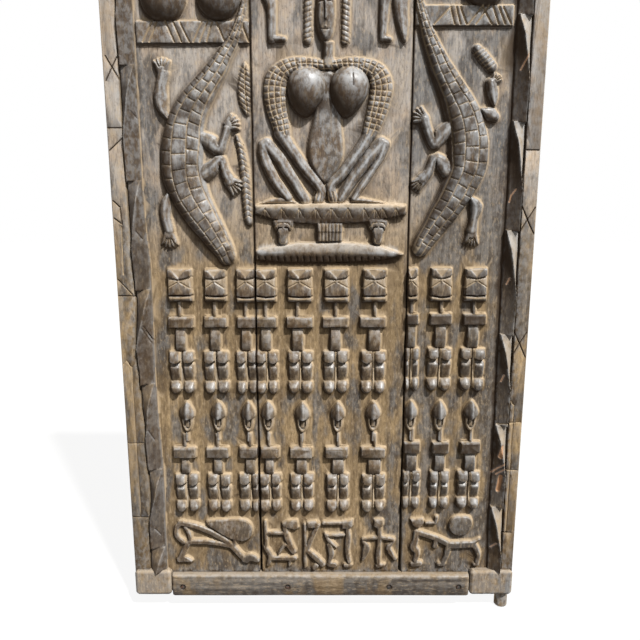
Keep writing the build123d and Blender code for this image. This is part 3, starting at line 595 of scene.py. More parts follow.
def crocodile(face, stations, outward):
    """Body with a crowned back, cut into columns of scales; outward is the side of the flank."""
    line = curve(stations, steps=4)
    part, u, h = face.near(line, line[:, 2].max(), 20)
    away, run, side, half = follow(line, u, h)
    share = -outward * side / half
    ridge = np.interp(half, (4, 16, 30, 50), (9, 17, 25, 31))
    lean = np.where(share < 0, 2.2, 3.4)
    height = ridge * np.clip(1 - (away / half) ** lean, 0, 1) ** np.where(share < 0, 0.75, 0.5)
    on_back = height > 0.3 * ridge
    cuts, tone = scales(line, run, share, half, face.seed)
    cuts *= on_back
    proud = height > face.height[part]
    bite = np.interp(half, (6, 14), (1.2, 2.8))
    face.height[part] = np.where(proud, height - bite * cuts, face.height[part])
    shows = proud * on_back
    # Painted highlight along the back's crest
    ridge_at = 0.12 if outward > 0 else -0.15
    face.tint("pale", 0.5 * np.clip(1 - np.abs(share - ridge_at) / 0.35, 0, 1) * shows, part)
    face.tint("pale", 0.55 * np.clip(tone - 0.35, 0, 1) * shows, part)
    face.tint("grime", 0.75 * np.clip(-tone, 0, 1) * shows, part)
    # Painted shade on the left flank, away from the key lamp
    face.tint("grime", 0.8 * smooth_step(-side / half, 0.2, 0.85) * shows, part)
    face.dust_and_light[part] = np.where(proud, 0.75 * cuts, face.dust_and_light[part])


def paw(face, u, h, aim, spread, reach, half, top=PAW, fingers=5):
    """Fan-shaped paw round aim, an angle in degrees from +u towards +h, cut into fingers."""
    turns = np.radians(aim + spread * np.linspace(-0.5, 0.5, fingers * 6 + 1))
    bumps = np.abs(np.sin(np.linspace(0, fingers * math.pi, fingers * 6 + 1)))
    out = reach * (0.84 + 0.16 * bumps)
    rim = np.stack([u + out * np.cos(turns), h + out * np.sin(turns)], 1)
    back = math.radians(aim)
    across = np.array([-math.sin(back), math.cos(back)]) * half * 0.8
    root = np.array([u, h]) - 0.3 * reach * np.array([math.cos(back), math.sin(back)])
    outline = np.vstack([[root - across], rim, [root + across]])
    part, place_u, place_h = face.near(outline, 2, top)
    depth = inside(outline, place_u, place_h)
    face.lift(part, top * rounded(depth, 5) * (0.75 + 0.25 * rounded(depth, 12)))
    for index in range(1, fingers):
        turn = math.radians(aim + spread * (index / fingers - 0.5))
        ends = [(u + r * reach * math.cos(turn), h + r * reach * math.sin(turn)) for r in (0.35, 1.0)]
        face.cut(ends, 3.6, 4.5, top, dusty=0.5)


LEFT_LEGS = [
    [(-362, 1232, 3), (-374, 1252, 11), (-378, 1278, 17), (-375, 1305, 13), (-369, 1330, 14)],
    [(-282, 1186, 17), (-262, 1176, 20), (-246, 1162, 13), (-233, 1190, 9), (-226, 1210, 11)],
    [(-284, 1108, 20), (-262, 1122, 18), (-243, 1140, 11), (-234, 1115, 11), (-222, 1088, 15)],
    [(-370, 1058, 6), (-377, 1035, 15), (-379, 1005, 13), (-372, 975, 12)],
]
# Paws: u, h, the way they point in degrees, spread, reach and half-width
LEFT_PAWS = [(-370, 1334, 92, 95, 33, 14), (-224, 1216, 28, 110, 30, 14), (-224, 1090, -38, 90, 36, 15),
             (-372, 968, -90, 90, 35, 14)]
RIGHT_LEGS = [
    [(290, 1212, 17), (270, 1192, 19), (256, 1176, 12), (240, 1205, 11), (232, 1230, 13)],
    [(288, 1112, 16), (276, 1132, 18), (258, 1143, 11), (246, 1112, 11), (232, 1095, 14)],
    [(366, 1250, 6), (383, 1243, 16), (394, 1236, 12)],
    [(391, 1262, 5), (388, 1285, 13), (382, 1310, 12)],
    [(349, 1050, 6), (361, 1032, 16), (358, 1004, 11), (354, 975, 14)],
]
RIGHT_PAWS = [(232, 1232, 152, 110, 31, 13), (232, 1094, -138, 80, 34, 14), (386, 1312, 50, 90, 24, 10),
              (354, 968, -92, 90, 32, 15)]
PLANT_OUTLINE = [(-180, 1357), (-193, 1330), (-200, 1298), (-195, 1262), (-178, 1236), (-166, 1258),
                 (-162, 1310)]
SNAKE_LINE = [(-203, 1192, 4), (-194, 1160, 8), (-187, 1110, 11), (-183, 1055, 12), (-180, 1008, 11),
              (-178, 996, 9)]
POD_LINE = [(347, 1384, 10), (362, 1368, 13), (382, 1345, 12)]


def animal(face, legs, paws, stations, outward):
    """Crocodile with its legs and paws."""
    for leg in legs:
        face.limb(curve(leg, steps=3), LEG)
    for place in paws:
        paw(face, *place)
    crocodile(face, stations, outward)


def left_animals(face):
    """Crocodile, a plant's leaf and a snake on the left plank."""
    animal(face, LEFT_LEGS, LEFT_PAWS, LEFT_CROCODILE, outward=1)
    face.block(curve(PLANT_OUTLINE, closed=True, steps=4), PLANT, edge=7)
    midrib = [(-180, 1350), (-181, 1300), (-178, 1240)]
    face.cut(midrib, 3, 3, PLANT)
    for level in range(1250, 1345, 11):
        for tip in ((-197, level + 11), (-167, level - 9)):
            face.cut([(-181, level), tip], 2.8, 2, PLANT)
    face.limb(curve(SNAKE_LINE, steps=3), SNAKE)
    for level in range(1008, 1180, 13):
        middle = float(np.interp(level, [1008, 1055, 1110, 1190], [-180, -183, -187, -203]))
        chevron = [(middle - 12, level - 6), (middle, level + 3), (middle + 12, level - 6)]
        face.cut(chevron, 2.8, 2, SNAKE)


def right_animals(face):
    """Crocodile and a ribbed pod on the right plank."""
    animal(face, RIGHT_LEGS, RIGHT_PAWS, RIGHT_CROCODILE, outward=-1)
    face.limb(curve(POD_LINE, steps=3), POD)
    for share in np.arange(0.1, 1, 0.17):
        u, h = 347 + 35 * share, 1384 - 40 * share
        face.cut([(u - 10, h - 8), (u + 10, h + 8)], 2.8, 2, POD, dusty=0.6)


# ---- The seated figure ----
LEFT_ARM = [(4, 1349, 10), (-40, 1352, 14), (-76, 1348, 18), (-104, 1330, 24), (-114, 1300, 27),
            (-112, 1262, 25), (-104, 1230, 22), (-98, 1200, 19)]
RIGHT_ARM = [(10, 1349, 10), (56, 1353, 13), (92, 1348, 17), (120, 1332, 23), (131, 1304, 27),
             (127, 1270, 25), (118, 1236, 23), (106, 1200, 18)]
LEFT_FOREARM = [(-102, 1200, 17), (-82, 1170, 14), (-45, 1118, 13), (-8, 1072, 12), (-14, 1048, 13)]
RIGHT_FOREARM = [(106, 1198, 15), (82, 1160, 14), (45, 1110, 13), (16, 1078, 12), (22, 1048, 12)]
LEFT_LEG = [[(-140, 1172, 15), (-142, 1150, 13), (-120, 1098, 13), (-86, 1052, 11)],
            [(-134, 1176, 14), (-104, 1140, 15), (-72, 1090, 13), (-44, 1044, 11)]]
RIGHT_LEG = [[(141, 1174, 14), (128, 1138, 9), (98, 1092, 9), (70, 1050, 8)],
             [(134, 1178, 14), (102, 1140, 16), (68, 1096, 14), (38, 1048, 11)]]
TORSO = [(-22, 1330), (-27, 1240), (-41, 1172), (-36, 1128), (-4, 1082), (24, 1104), (47, 1150), (40, 1240),
         (28, 1330)]
SEAT = [(-166, 1036), (-120, 1038), (0, 1040), (110, 1040), (195, 1036), (195, 1012), (150, 1002),
        (100, 993), (0, 988), (-60, 990), (-120, 999), (-166, 1014)]
BASE = [(-166, 928), (-120, 938), (-60, 945), (60, 946), (130, 940), (196, 918), (150, 905), (100, 899),
        (0, 896), (-100, 897), (-166, 903)]
# Fans of three cuts along the seat: u and spread
SEAT_FANS = ((-140, 16), (-100, 16), (-60, 14), (-20, 14), (16, 20), (56, 14), (95, 14), (120, 15),
             (138, 15), (170, 12))
# Painted highlights and dust along the upper edges of the seat and base, and painted shade on their
# undersides: layer, line, half, strength, height
STOOL_MARKS = [
    ("pale", [(-150, 1033), (180, 1034)], 9, 1.0, 18),
    ("dust_and_light", [(-155, 1035), (185, 1036)], 8, 0.90, 18),
    ("pale", [(-150, 928), (-60, 936), (60, 937), (170, 924)], 11, 1.0, 16),
    ("dust_and_light", [(-140, 931), (-60, 939), (60, 940), (160, 929)], 7, 0.45, 16),
    ("grime", [(-150, 903), (175, 903)], 13, 1.0, 12),
    ("grime", [(-150, 1010), (20, 1001), (180, 1010)], 12, 0.75, 14),
]
FACE = [(-20, 1480), (-21, 1440), (-12, 1408), (0, 1397), (12, 1403), (22, 1425), (25, 1480), (20, 1520),
        (2, 1534), (-15, 1520)]


def scaled_arm(face, stations):
    """Arm covered with small squares, cut along and across."""
    line = curve(stations, steps=4)
    part, u, h = face.near(line, line[:, 2].max(), ARM)
    away, run, side, half = follow(line, u, h)
    height = ARM * np.clip(1 - (away / half) ** 3.2, 0, 1) ** 0.5
    columns = np.maximum(1, np.round(half / 6.4))
    along = (side / half * columns / 2 + 0.5 * (columns % 2)) % 1
    along = np.minimum(along, 1 - along) * 2 * half / columns
    across = np.abs((run / 12.5 + 0.12 * side / half) % 1 - 0.5) * 12.5
    cuts = np.maximum(hump(along, 1.8), hump(across, 1.8))
    cuts *= height > 6
    proud = height > face.height[part]
    face.height[part] = np.where(proud, height - 2.6 * cuts, face.height[part])
    face.dust_and_light[part] = np.where(proud, cuts, face.dust_and_light[part])


def braid(face, u, h_low, h_high, half, lean):
    """Twisted braid, cut with close slanting strokes."""
    face.limb([(u, h_low, half), (u + 4, h_high, half)], 9, 3)
    for level in np.arange(h_low, h_high - 4, 11):
        face.cut([(u - half, level), (u + half, level + lean)], 2.6, 2.2, 9)


def breast(face, u_middle, h_middle, lean, reach=46, drop=66, top=42):
    """Ball that draws out below to a blunt point leaning aside."""
    ring = [(u_middle - reach, h_middle - drop), (u_middle + reach, h_middle + reach)]
    part, u, h = face.near(ring, 4)
    y = h - h_middle
    down = np.clip(-y / drop, 0, 1)
    across = (u - u_middle - lean * down) / (reach * (1 - 0.3 * down**2))
    r = np.hypot(across, y / np.where(y > 0, reach, drop))
    face.lift(part, top * np.sqrt(np.clip(1 - r**2.1, 0, 1)))
    # Painted shade on the lower left side, away from the key lamp
    low_side = smooth_step(-y - 0.3 * (u - u_middle), -20, 45) * (r < 1)
    face.tint("grime", 0.75 * low_side, part)
    # Painted highlight on the upper right
    gleam = smooth_step(38 - np.hypot(u - u_middle - 8, y - 13), 0, 34) * (r < 0.97)
    face.tint("pale", gleam, part)


def seated_figure(face):
    """Seated woman, hands drawn in between the knees, with two braids beside the neck."""
    face.block(curve(TORSO, closed=True, steps=4), TORSO_FACE, edge=12, crown=3)
    # Pale patches and painted highlight down the torso's middle
    face.mark("pale", [(4, 1240), (2, 1150)], 26, 0.22)
    # Legs and forearms get the full painted highlight along their crests
    for leg in LEFT_LEG + RIGHT_LEG:
        face.limb(curve(leg, steps=4), LEG, polish=1.0)
    for forearm in (LEFT_FOREARM, RIGHT_FOREARM):
        face.limb(curve(forearm, steps=4), ARM, polish=1.0)
    for arm in (LEFT_ARM, RIGHT_ARM):
        scaled_arm(face, arm)
    neck = [(2, 1334), (-10, 1352), (-4, 1368), (-4, 1402), (22, 1402), (22, 1368), (28, 1352), (14, 1334)]
    face.block(neck, 18.5, edge=10)
    for u, h, lean in ((-40, 1299, -4), (57, 1299, -9)):
        breast(face, u, h, lean)
    crack = [(66, 1332), (66, 1302)]
    face.cut(crack, 2.2, 2.5, 34, dusty=0)
    face.mark("grime", crack, 1.3, 1, 34)
    face.cut([(50, 1236), (52, 1196), (51, 1150)], 1.8, 2, TORSO_FACE, dusty=0)
    for u in (-28, -20, -10, 12, 22, 30):
        face.cut([(u, 1043), (u * 0.8, 1066)], 2.6, 2.4, 13)
    face.block(curve(FACE, closed=True, steps=4), 20, edge=13)
    face.limb([(2, 1492, 3.5), (3, 1448, 5.5)], 26, 2)
    face.dome(3, 1424, 9, 5, 22)
    face.cut([(-7, 1424), (4, 1423), (13, 1425)], 2.6, 2.5, 20, dusty=0.2)
    for side in (-1, 1):
        face.dome(2 + side * 11, 1472, 7, 4, 20)
        face.cut([(2 + side * 17, 1480), (2 + side * 5, 1482)], 3, 2.5, 18, dusty=0.2)
    braid(face, -38, 1401, 1530, 9.5, 7)
    braid(face, 47, 1401, 1530, 9.5, -7)


def animal_head(face, u, h):
    """Head with a broad brow that narrows to a rounded muzzle."""
    left_half = [(-23, 30), (-24, 12), (-15, -6), (-13, -26), (-6, -33)]
    outline = left_half + [(6, -33), (12, -26), (14, -6), (23, 12), (22, 30)]
    face.block(curve(outline, closed=True, steps=3) + (u, h), 19, edge=7)
    for side in (-1, 1):
        brow = [(side * 3, 22), (side * 12, 20), (side * 20, 9)]
        eye = [(side * 4, 10), (side * 11, 9), (side * 15, 1)]
        face.cut(np.array(brow) + (u, h), 2.8, 2.2, 18, dusty=0.9)
        face.cut(np.array(eye) + (u, h), 4.2, 5, 18, dusty=0)
        face.mark("grime", np.array(eye) + (u, h), 1.8, 0.9, 18)
    lip = curve([(-8, -16), (-6, -26), (0, -29), (6, -26), (8, -16)], steps=3)
    face.cut(lip + (u, h), 2.6, 2.2, 17, dusty=1)
    face.mark("grime", [(u, h - 8), (u, h - 22)], 4.5, 0.7, 17)


def stool(face):
    """Stool with a lens-shaped seat and base, a fluted post and two animal heads."""
    for wedge in ([(-160, 1038), (-128, 1050), (-102, 1055), (-75, 1049), (-48, 1036)],
                  [(58, 1040), (72, 1056), (95, 1053), (130, 1046), (160, 1038)]):
        face.block(wedge, 11, edge=7)
    face.block(SEAT, STOOL, edge=4)
    face.block(BASE, STOOL - 2, edge=4)
    for outline, slope_from, slope in ((SEAT, 1029, 40), (BASE, 921, 24)):
        part, u, h = face.near(outline, 0, STOOL)
        within = inside(np.array(outline, float), u, h) > 0
        face.height[part] -= 9 * np.clip((slope_from - h) / slope, 0, 1) * within
    for layer, line, half, strength, top in STOOL_MARKS:
        face.mark(layer, line, half, strength, top)
    for fan, spread in SEAT_FANS:
        for turn in (-1, 0, 1):
            ray = [(fan, 1028), (fan + turn * spread * 0.8, 1006)]
            face.cut(ray, 2.6, 2.2, STOOL - 2, dusty=0.9)
    for u in np.arange(-158, 190, 15.5):
        face.cut([(u, 912), (u + 1, 896)], 5, 4, 12, dusty=0)
    for u, h in ((-98, 972), (129, 973)):
        animal_head(face, u, h)
    post = oblong(-17, 44, 948, 993)
    face.block(post, POST, edge=3)
    for u in np.arange(-8, 42, 8.5):
        face.cut([(u, 992), (u, 950)], 3.2, 3, POST, dusty=0.6)
    part, u, h = face.near(post, 0, POST)
    face.height[part] -= 2.5 * smooth_step(972 - h, -2, 2) * (inside(post, u, h) > 0)


# Figures that stand at the seated one's sides: legs, body and head. Rows are u, h and half-width
STANDING = [
    [(-119, 1404, 10), (-119, 1470, 11), (-126, 1500, 15), (-128, 1545, 13), (-128, 1556, 6)],
    [(-118, 1406, 8), (-92, 1404, 6)],
    [(-128, 1560, 12), (-127, 1582, 16)],
    [(132, 1406, 8), (134, 1470, 11), (138, 1500, 14), (140, 1545, 13), (140, 1556, 6)],
    [(133, 1406, 7), (147, 1403, 6)],
    [(181, 1402, 5), (175, 1440, 14), (170, 1490, 18)],
    [(139, 1560, 12), (140, 1582, 16)],
]

# ---- Small scenes along the bottom ----
LEFT_SCENE = [
    [(-378, 212, 7), (-340, 203, 8), (-300, 186, 8), (-262, 163, 8), (-246, 148, 7)],
    [(-372, 213, 6), (-386, 203, 6), (-391, 187, 6), (-386, 170, 6), (-372, 157, 6)],
    [(-366, 200, 4), (-357, 184, 5), (-354, 166, 5)],
    [(-354, 158, 7), (-300, 156, 7), (-246, 146, 7)],
    [(-246, 148, 8), (-222, 118, 8), (-206, 104, 9)],
    [(-212, 106, 9), (-194, 112, 12), (-176, 103, 6)],
    [(-361, 152, 7), (-372, 132, 7), (-380, 112, 9)],
    [(-386, 106, 8), (-372, 108, 9), (-354, 102, 4)],
    [(-234, 180, 5), (-238, 150, 5)],
]
PADDLE = [(-308, 218), (-260, 223), (-215, 223), (-195, 213), (-187, 192), (-194, 170), (-213, 159),
          (-232, 163), (-255, 170), (-302, 202)]
CENTRE_SCENE = [
    [(-154, 215, 4), (-153, 146, 4)],
    [(-156, 142, 5), (-143, 118, 7), (-148, 92, 5)],
    [(-148, 184, 5), (-106, 184, 5)],
    [(-104, 200, 6), (-96, 168, 8), (-80, 130, 7)],
    [(-120, 124, 3), (-108, 144, 4), (-98, 148, 4), (-82, 126, 4)],
    [(-138, 110, 7), (-78, 110, 7)],
    [(-90, 104, 4), (-92, 90, 3)],
    [(-50, 208, 4), (-50, 86, 4)],
    [(-20, 196, 5), (-34, 164, 6), (-46, 132, 6)],
    [(-46, 134, 6), (-22, 112, 8), (-4, 92, 8)],
    [(-26, 82, 6), (-20, 88, 7)],
    [(4, 180, 4), (14, 160, 5), (34, 142, 2)],
    [(8, 176, 4), (52, 178, 4)],
    [(14, 148, 7), (20, 122, 8), (14, 100, 4)],
    [(16, 92, 8), (27, 90, 9)],
    [(0, 212, 5), (46, 212, 5)],
    [(62, 196, 5), (64, 160, 8), (62, 126, 6), (68, 98, 5)],
    [(58, 88, 6), (70, 88, 6)],
    [(147, 196, 6), (147, 150, 6), (144, 122, 7), (146, 92, 5)],
    [(144, 88, 6), (160, 90, 4)],
    [(104, 166, 4), (142, 170, 5)],
    [(103, 160, 3), (112, 148, 8), (112, 132, 10), (104, 106, 4)],
    [(152, 170, 5), (182, 165, 5), (184, 158, 3)],
    [(182, 156, 3), (172, 138, 7), (190, 108, 5)],
]
SCENE_HEADS = [[(-112, 212), (-95, 221), (-69, 221), (-66, 196), (-78, 192), (-108, 200)],
               [(-46, 198), (-46, 216), (-20, 219), (-8, 206), (-14, 196)],
               [(46, 196), (46, 218), (76, 222), (76, 202), (66, 195)],
               [(130, 202), (132, 222), (156, 222), (158, 204), (146, 193)]]
RIGHT_SCENE = [
    [(245, 186, 8), (242, 160, 8), (238, 142, 10), (248, 128, 8), (244, 104, 7)],
    [(238, 92, 8), (256, 94, 8)],
    [(270, 213, 4), (294, 213, 4)],
    [(294, 214, 4), (296, 228, 5)],
    [(250, 184, 8), (288, 172, 8), (318, 158, 8), (334, 148, 9)],
    [(296, 160, 6), (295, 146, 7)],
    [(334, 147, 11), (396, 150, 10)],
    [(330, 142, 9), (326, 116, 7), (318, 98, 6)],
    [(308, 92, 6), (320, 93, 6)],
    [(400, 146, 8), (411, 122, 6), (408, 98, 6)],
    [(402, 92, 5), (409, 92, 5)],
    [(398, 156, 5), (412, 166, 3)],
]
MAN_HEAD = [(226, 224), (262, 226), (265, 212), (255, 200), (244, 196), (232, 206)]
SHIELD = [(338, 226), (358, 232), (382, 230), (392, 212), (386, 190), (372, 178), (350, 176), (335, 187),
          (328, 206)]


def scene_forms(face, limbs, heads):
    """Small scene of thin limbs and flat heads or shields."""
    for line in limbs:
        face.limb(curve(line, steps=3), SCENE, 6, polish=0)
    for head in heads:
        face.block(head, SCENE + 1, edge=3)


# ---- Borders: outer board, groove and twisted strip ----
# Rows are the level and u
LEFT_GROOVE = [(1780, -464), (1080, -462), (980, -460), (880, -457), (800, -455), (700, -462), (640, -458),
               (540, -457), (480, -451), (400, -452), (300, -448), (250, -452), (200, -455), (100, -459),
               (0, -459)]
LEFT_CORNER = [(1780, -428), (1080, -427), (980, -424), (900, -418), (800, -418), (700, -420), (600, -420),
               (500, -418), (400, -413), (300, -413), (200, -415), (0, -416)]
RIGHT_GROOVE = [(1780, 464), (1100, 462), (800, 464), (600, 463), (400, 464), (200, 467), (0, 468)]
RIGHT_CORNER = [(1780, 430), (1080, 430), (900, 428), (600, 430), (400, 432), (250, 430), (100, 434),
                (0, 438)]
LEFT_BREAKS = (1830, 1600, 1348, 1093, 836, 599, 372, 151, -60)
RIGHT_BREAKS = (1900, 1690, 1453, 1225, 978, 725, 491, 268, 40)
BOARD_PROUD = 9
UPPER_FROM, UPPER_FULL = 700, 1000  # levels between which the right border takes its upper looks
# Strengths of the borders' colours, and what the right one's upper part has more. The pale strengths are
# painted highlights; the grime strengths are painted shade on facets facing away from the key lamp, but on
# the left field facet its dark slate colour. Board grime makes the outer boards darker towards the bottom.
LEFT_LOOKS = {"outer pale": 0.10, "outer grime": 0.26, "outer polish": 0.35, "field grime": 0.50,
              "field polish": 1.0, "edge pale": 0.12, "board halo": 0.25, "board grime": 0.35}
RIGHT_LOOKS = {"outer pale": 0.16, "outer grime": 0, "outer polish": 0.25, "field grime": 0,
               "field polish": 0.40, "edge pale": 0.14, "board halo": 0.60, "board grime": 0.15}
RIGHT_UPPER = {"outer pale": 0.34, "field grime": 0.46, "field polish": 0.30}


def twisted_border(face, groove, corner, breaks, outward, top_crest, heel, looks, more):
    """Outer board, dark groove and a strip whose ridge crosses from the field's side outwards."""
    u, h = face.hand_u, face.hand_h
    u_groove, u_corner = [np.interp(h, *np.array(line[::-1], float).T) for line in (groove, corner)]
    board = smooth_step(outward * (u - u_groove), 1.0, 4.0)
    face.lift(slice(None), BOARD_PROUD * board)
    share = outward * (u - u_corner) / np.abs(u_groove - u_corner)  # 0 at the field, 1 at the groove
    steps = np.array(breaks, float)
    slant = 5 * share
    index = np.clip(np.searchsorted(-steps, -(h + slant)) - 1, 0, len(steps) - 2)
    top, bottom = steps[index], steps[index + 1]
    phase = (top - h - slant) / (top - bottom)
    ridge = 0.05 + 0.91 * np.clip(phase / 0.62, 0, 1) ** 0.8
    crest = top_crest * (1 - 0.5 * (1 - smooth_step(phase, 0, 0.2)) - 0.3 * smooth_step(phase, 0.5, 1.0))
    field_side = heel + (crest - heel) * np.clip(share / ridge, 0, 9) ** 1.15
    outer_side = heel + (crest - heel) * np.clip((1 - share) / (1 - ridge), 0, 9) ** 0.9
    low_side, gap = np.minimum(field_side, outer_side), np.abs(field_side - outer_side)
    strip = low_side - 1.6 * np.log1p(np.exp(-gap / 1.6)) + 1.1 * np.exp(-gap / 6)
    strip = np.maximum(strip, 0) * rounded(share, 0.07) * rounded(1 - share, 0.07)
    on_strip = (share > 0) & (share < 1)
    face.lift(slice(None), strip * on_strip)
    outer_facet = on_strip * smooth_step(share - ridge, -0.04, 0.06)
    field_facet = on_strip * smooth_step(ridge - share, -0.04, 0.06)
    edge_line = on_strip * (1 - smooth_step(np.abs(share - ridge), 0.02, 0.08)) * (phase < 0.66)
    upper = smooth_step(h, UPPER_FROM, UPPER_FULL)
    strength = {name: value + more.get(name, 0) * upper for name, value in looks.items()}
    fade = 1 - 0.45 * smooth_step(phase, 0.1, 0.6)
    # Painted highlights on the outer facets and along the ridge line
    face.tint("pale", outer_facet * strength["outer pale"] * fade)
    face.tint("pale", strength["edge pale"] * edge_line)
    face.tint("form", strength["field polish"] * field_facet)
    face.tint("form", strength["outer polish"] * outer_facet)
    # Painted shade on facets facing away from the key lamp; on the left field facet, its dark slate colour
    face.tint("grime", strength["field grime"] * field_facet)
    face.tint("grime", strength["outer grime"] * outer_facet)
    on_board = share > 1.03
    face.halo = np.where(on_board, strength["board halo"], np.where(on_strip, 0.1, face.halo))
    # Outer board darker towards the bottom
    face.tint("grime", strength["board grime"] * on_board * (1 - smooth_step(h, 300, 900)))
    # Painted shade in the groove between strip and outer board
    face.tint("grime", 0.9 * (1 - smooth_step(np.abs(share - 1.02), 0.02, 0.09)))
    corner_line = [(place, level) for level, place in corner]
    # Right border: painted shadow of the strip on the field. Left border: dust and painted light on the lit
    # corner
    if outward > 0:
        face.mark("grime", [(place - 3, level) for place, level in corner_line], 4, 0.6)
    else:
        face.mark("dust_and_light", corner_line, 1.3, 0.5)


# Fine lines and old cracks in the outer boards: their places, and 1 where dark or 0 where dusty
LEFT_BOARD_CUTS = [
    ([(-496, 1367), (-468, 1318)], 1), ([(-470, 1365), (-498, 1314)], 1), ([(-500, 1210), (-466, 1210)], 1),
    ([(-500, 1160), (-466, 1190)], 1), ([(-500, 1045), (-484, 1030), (-482, 990), (-500, 1005)], 1),
    ([(-500, 858), (-466, 820)], 1), ([(-500, 818), (-460, 817)], 1), ([(-484, 985), (-485, 870)], 0),
    ([(-500, 645), (-492, 655), (-483, 640)], 0), ([(-480, 640), (-480, 231)], 0),
    ([(-500, 436), (-462, 436)], 0), ([(-500, 231), (-461, 231)], 1),
]
RIGHT_BOARD_CUTS = [
    ([(466, 1161), (500, 1161)], 1), ([(466, 1036), (500, 968)], 1), ([(466, 970), (500, 1030)], 1),
    ([(466, 733), (500, 664)], 1), ([(466, 664), (484, 700), (500, 728)], 1),
    ([(468, 540), (470, 552), (478, 540)], 0), ([(480, 540), (480, 187)], 0), ([(500, 493), (440, 490)], 0),
    ([(464, 364), (500, 362)], 0), ([(468, 187), (494, 187)], 1),
]


def scar(face, line, half, depth, fresh=1.0, top=0):
    """Torn or chipped place that shows younger wood."""
    face.cut(line, 2 * half, depth, top, dusty=0)
    face.mark("fresh", line, half, fresh, top)


RIGHT_SPLINTERS = [[(452, 1072), (443, 1058), (440, 1042)], [(449, 862), (444, 846)],
                   [(450, 618), (445, 600)], [(456, 158), (444, 142)], [(461, 1372), (447, 1338)],
                   [(463, 384), (436, 352)], [(466, 372), (446, 350)]]
RIGHT_RAW_PLACES = [[(456, 348), (452, 306)], [(455, 430), (452, 402)]]
LEFT_NICKS = [[(-446, 1248), (-434, 1232)], [(-448, 972), (-436, 955)], [(-444, 742), (-426, 706)],
              [(-448, 738), (-430, 700)], [(-440, 730), (-424, 704)], [(-446, 474), (-434, 446)],
              [(-444, 198), (-432, 180)]]


def border_marks(face, cuts):
    """Fine lines and cracks of an outer board."""
    for line, dark in cuts:
        face.cut(line, 3.4, 2.6, BOARD_PROUD, dusty=0.85 * (1 - dark))
        if dark:
            face.mark("grime", line, 1.8, 0.9, BOARD_PROUD)


# ---- From carving to mesh ----
SMOOTH_TO = 50  # degrees; sharper edges of a board stay sharp
FACE_SHARE = 0.65  # of a board's thickness, from its face, that the face's layers colour
# Colour attributes of a piece, and the layers in their channels. The pintles have none: there every
# layer reads 0, but 1 from the last channels
ATTRIBUTES = {
    "shape": ("hollow", "ledge", "under", "worn"),
    "marks": ("dust_and_light", "fresh", "grime", "halo"),
    "zones": ("form", "pale", "spare", "cool"),
}


def plank_ends(face, foot_reach=None, outward=1):
    """Sinks the tongues behind the rails; from foot_reach outwards the border runs on under the foot."""
    u, h = np.meshgrid(face.u, face.h + CARVING_DATUM)
    end = (h < RAIL_COVER) | (h > LEAF_TOP - RAIL_COVER)
    behind_foot = outward * u > foot_reach if foot_reach else np.zeros(u.shape, bool)
    face.height[end & ~behind_foot] = -TONGUE_DROP
    under_foot = (h < FOOT_HEIGHT - 6) | (h > LEAF_TOP - FOOT_HEIGHT + 6)
    face.height[under_foot & behind_foot] = -2


def ease_sides(face, seams, reach=1.4, drop=1.2):
    """Long sides of a plank are worn round, and dark where seams names them: -1 left, 1 right."""
    left, right = face.u - face.u[0], face.u[-1] - face.u
    face.height -= drop * (1 - rounded(np.minimum(left, right), reach * 1.6)) * (face.height > -5)
    for side, away in ((-1, left), (1, right)):
        if side in seams:
            face.tint("grime", 1 - smooth_step(away, 0.3, 1.9))


def shape_layers(face):
    """What the heights alone tell: hollows and slopes facing away from the key lamp, for painted shade;
    ledges facing up and towards it, for a dusty tint and painted light; and worn tops.
    """
    height, step = face.height, face.fineness
    fine = height - blurred(height, 1.6 / step)
    broad = height - blurred(height, 7 / step)
    rise, lean = np.gradient(height, step)
    to_light = -(0.8 * rise + 0.7 * lean)
    return {
        "hollow": np.clip(np.clip(-fine / 1.3, 0, 1) * 0.6 + np.clip(-broad / 4.5, 0, 1) * 0.9, 0, 1),
        "ledge": np.clip(to_light / 1.1, 0, 1),
        "under": np.clip(-to_light / 0.8, 0, 1),
        "worn": np.clip(np.clip(fine / 1.2, 0, 1) * 0.8 + np.clip(broad / 7 - 0.2, 0, 1) * 0.5, 0, 1),
    }


def only(piece, *others):
    """Selects piece and the others, piece the active one."""
    bpy.ops.object.select_all(action="DESELECT")
    for each in (piece, *others):
        each.select_set(True)
    bpy.context.view_layer.objects.active = piece


def edit(action):
    """Edit mode, with all or nothing selected."""
    bpy.ops.object.mode_set(mode="EDIT")
    bpy.ops.mesh.select_all(action=action)


def end_edit():
    """Back to object mode."""
    bpy.ops.object.mode_set(mode="OBJECT")


def places_of(piece):
    """Places of a piece's vertices, in metres."""
    co = np.empty(len(piece.data.vertices) * 3, np.float32)
    piece.data.vertices.foreach_get("co", co)
    return co.reshape(-1, 3)


def grid_piece(name, columns, rows):
    """Flat grid; returns it with each vertex's column and row."""
    bpy.ops.object.select_all(action="DESELECT")
    bpy.ops.mesh.primitive_grid_add(x_subdivisions=columns - 1, y_subdivisions=rows - 1, size=2)
    piece = bpy.context.object
    piece.name = name
    co = places_of(piece)
    column = np.rint((co[:, 0] + 1) / 2 * (columns - 1)).astype(int)
    row = np.rint((co[:, 1] + 1) / 2 * (rows - 1)).astype(int)
    return piece, column, row


def set_places(piece, places):
    """Moves a piece's vertices to places, in mm."""
    piece.data.vertices.foreach_set("co", (places * MM).astype(np.float32).ravel())
    piece.data.update()


def sampled(layer, face, u, h):
    """Values of a layer at places, read between the grid's points."""

    def steps_along(places, stations):
        share = (places - stations[0]) / (stations[-1] - stations[0])
        return np.clip(share * (len(stations) - 1), 0, len(stations) - 1.001)

    x, y = steps_along(u, face.u), steps_along(h, face.h)
    i, j = x.astype(int), y.astype(int)
    x, y = x - i, y - j
    low = layer[j, i] * (1 - x) + layer[j, i + 1] * x
    high = layer[j + 1, i] * (1 - x) + layer[j + 1, i + 1] * x
    return low * (1 - y) + high * y


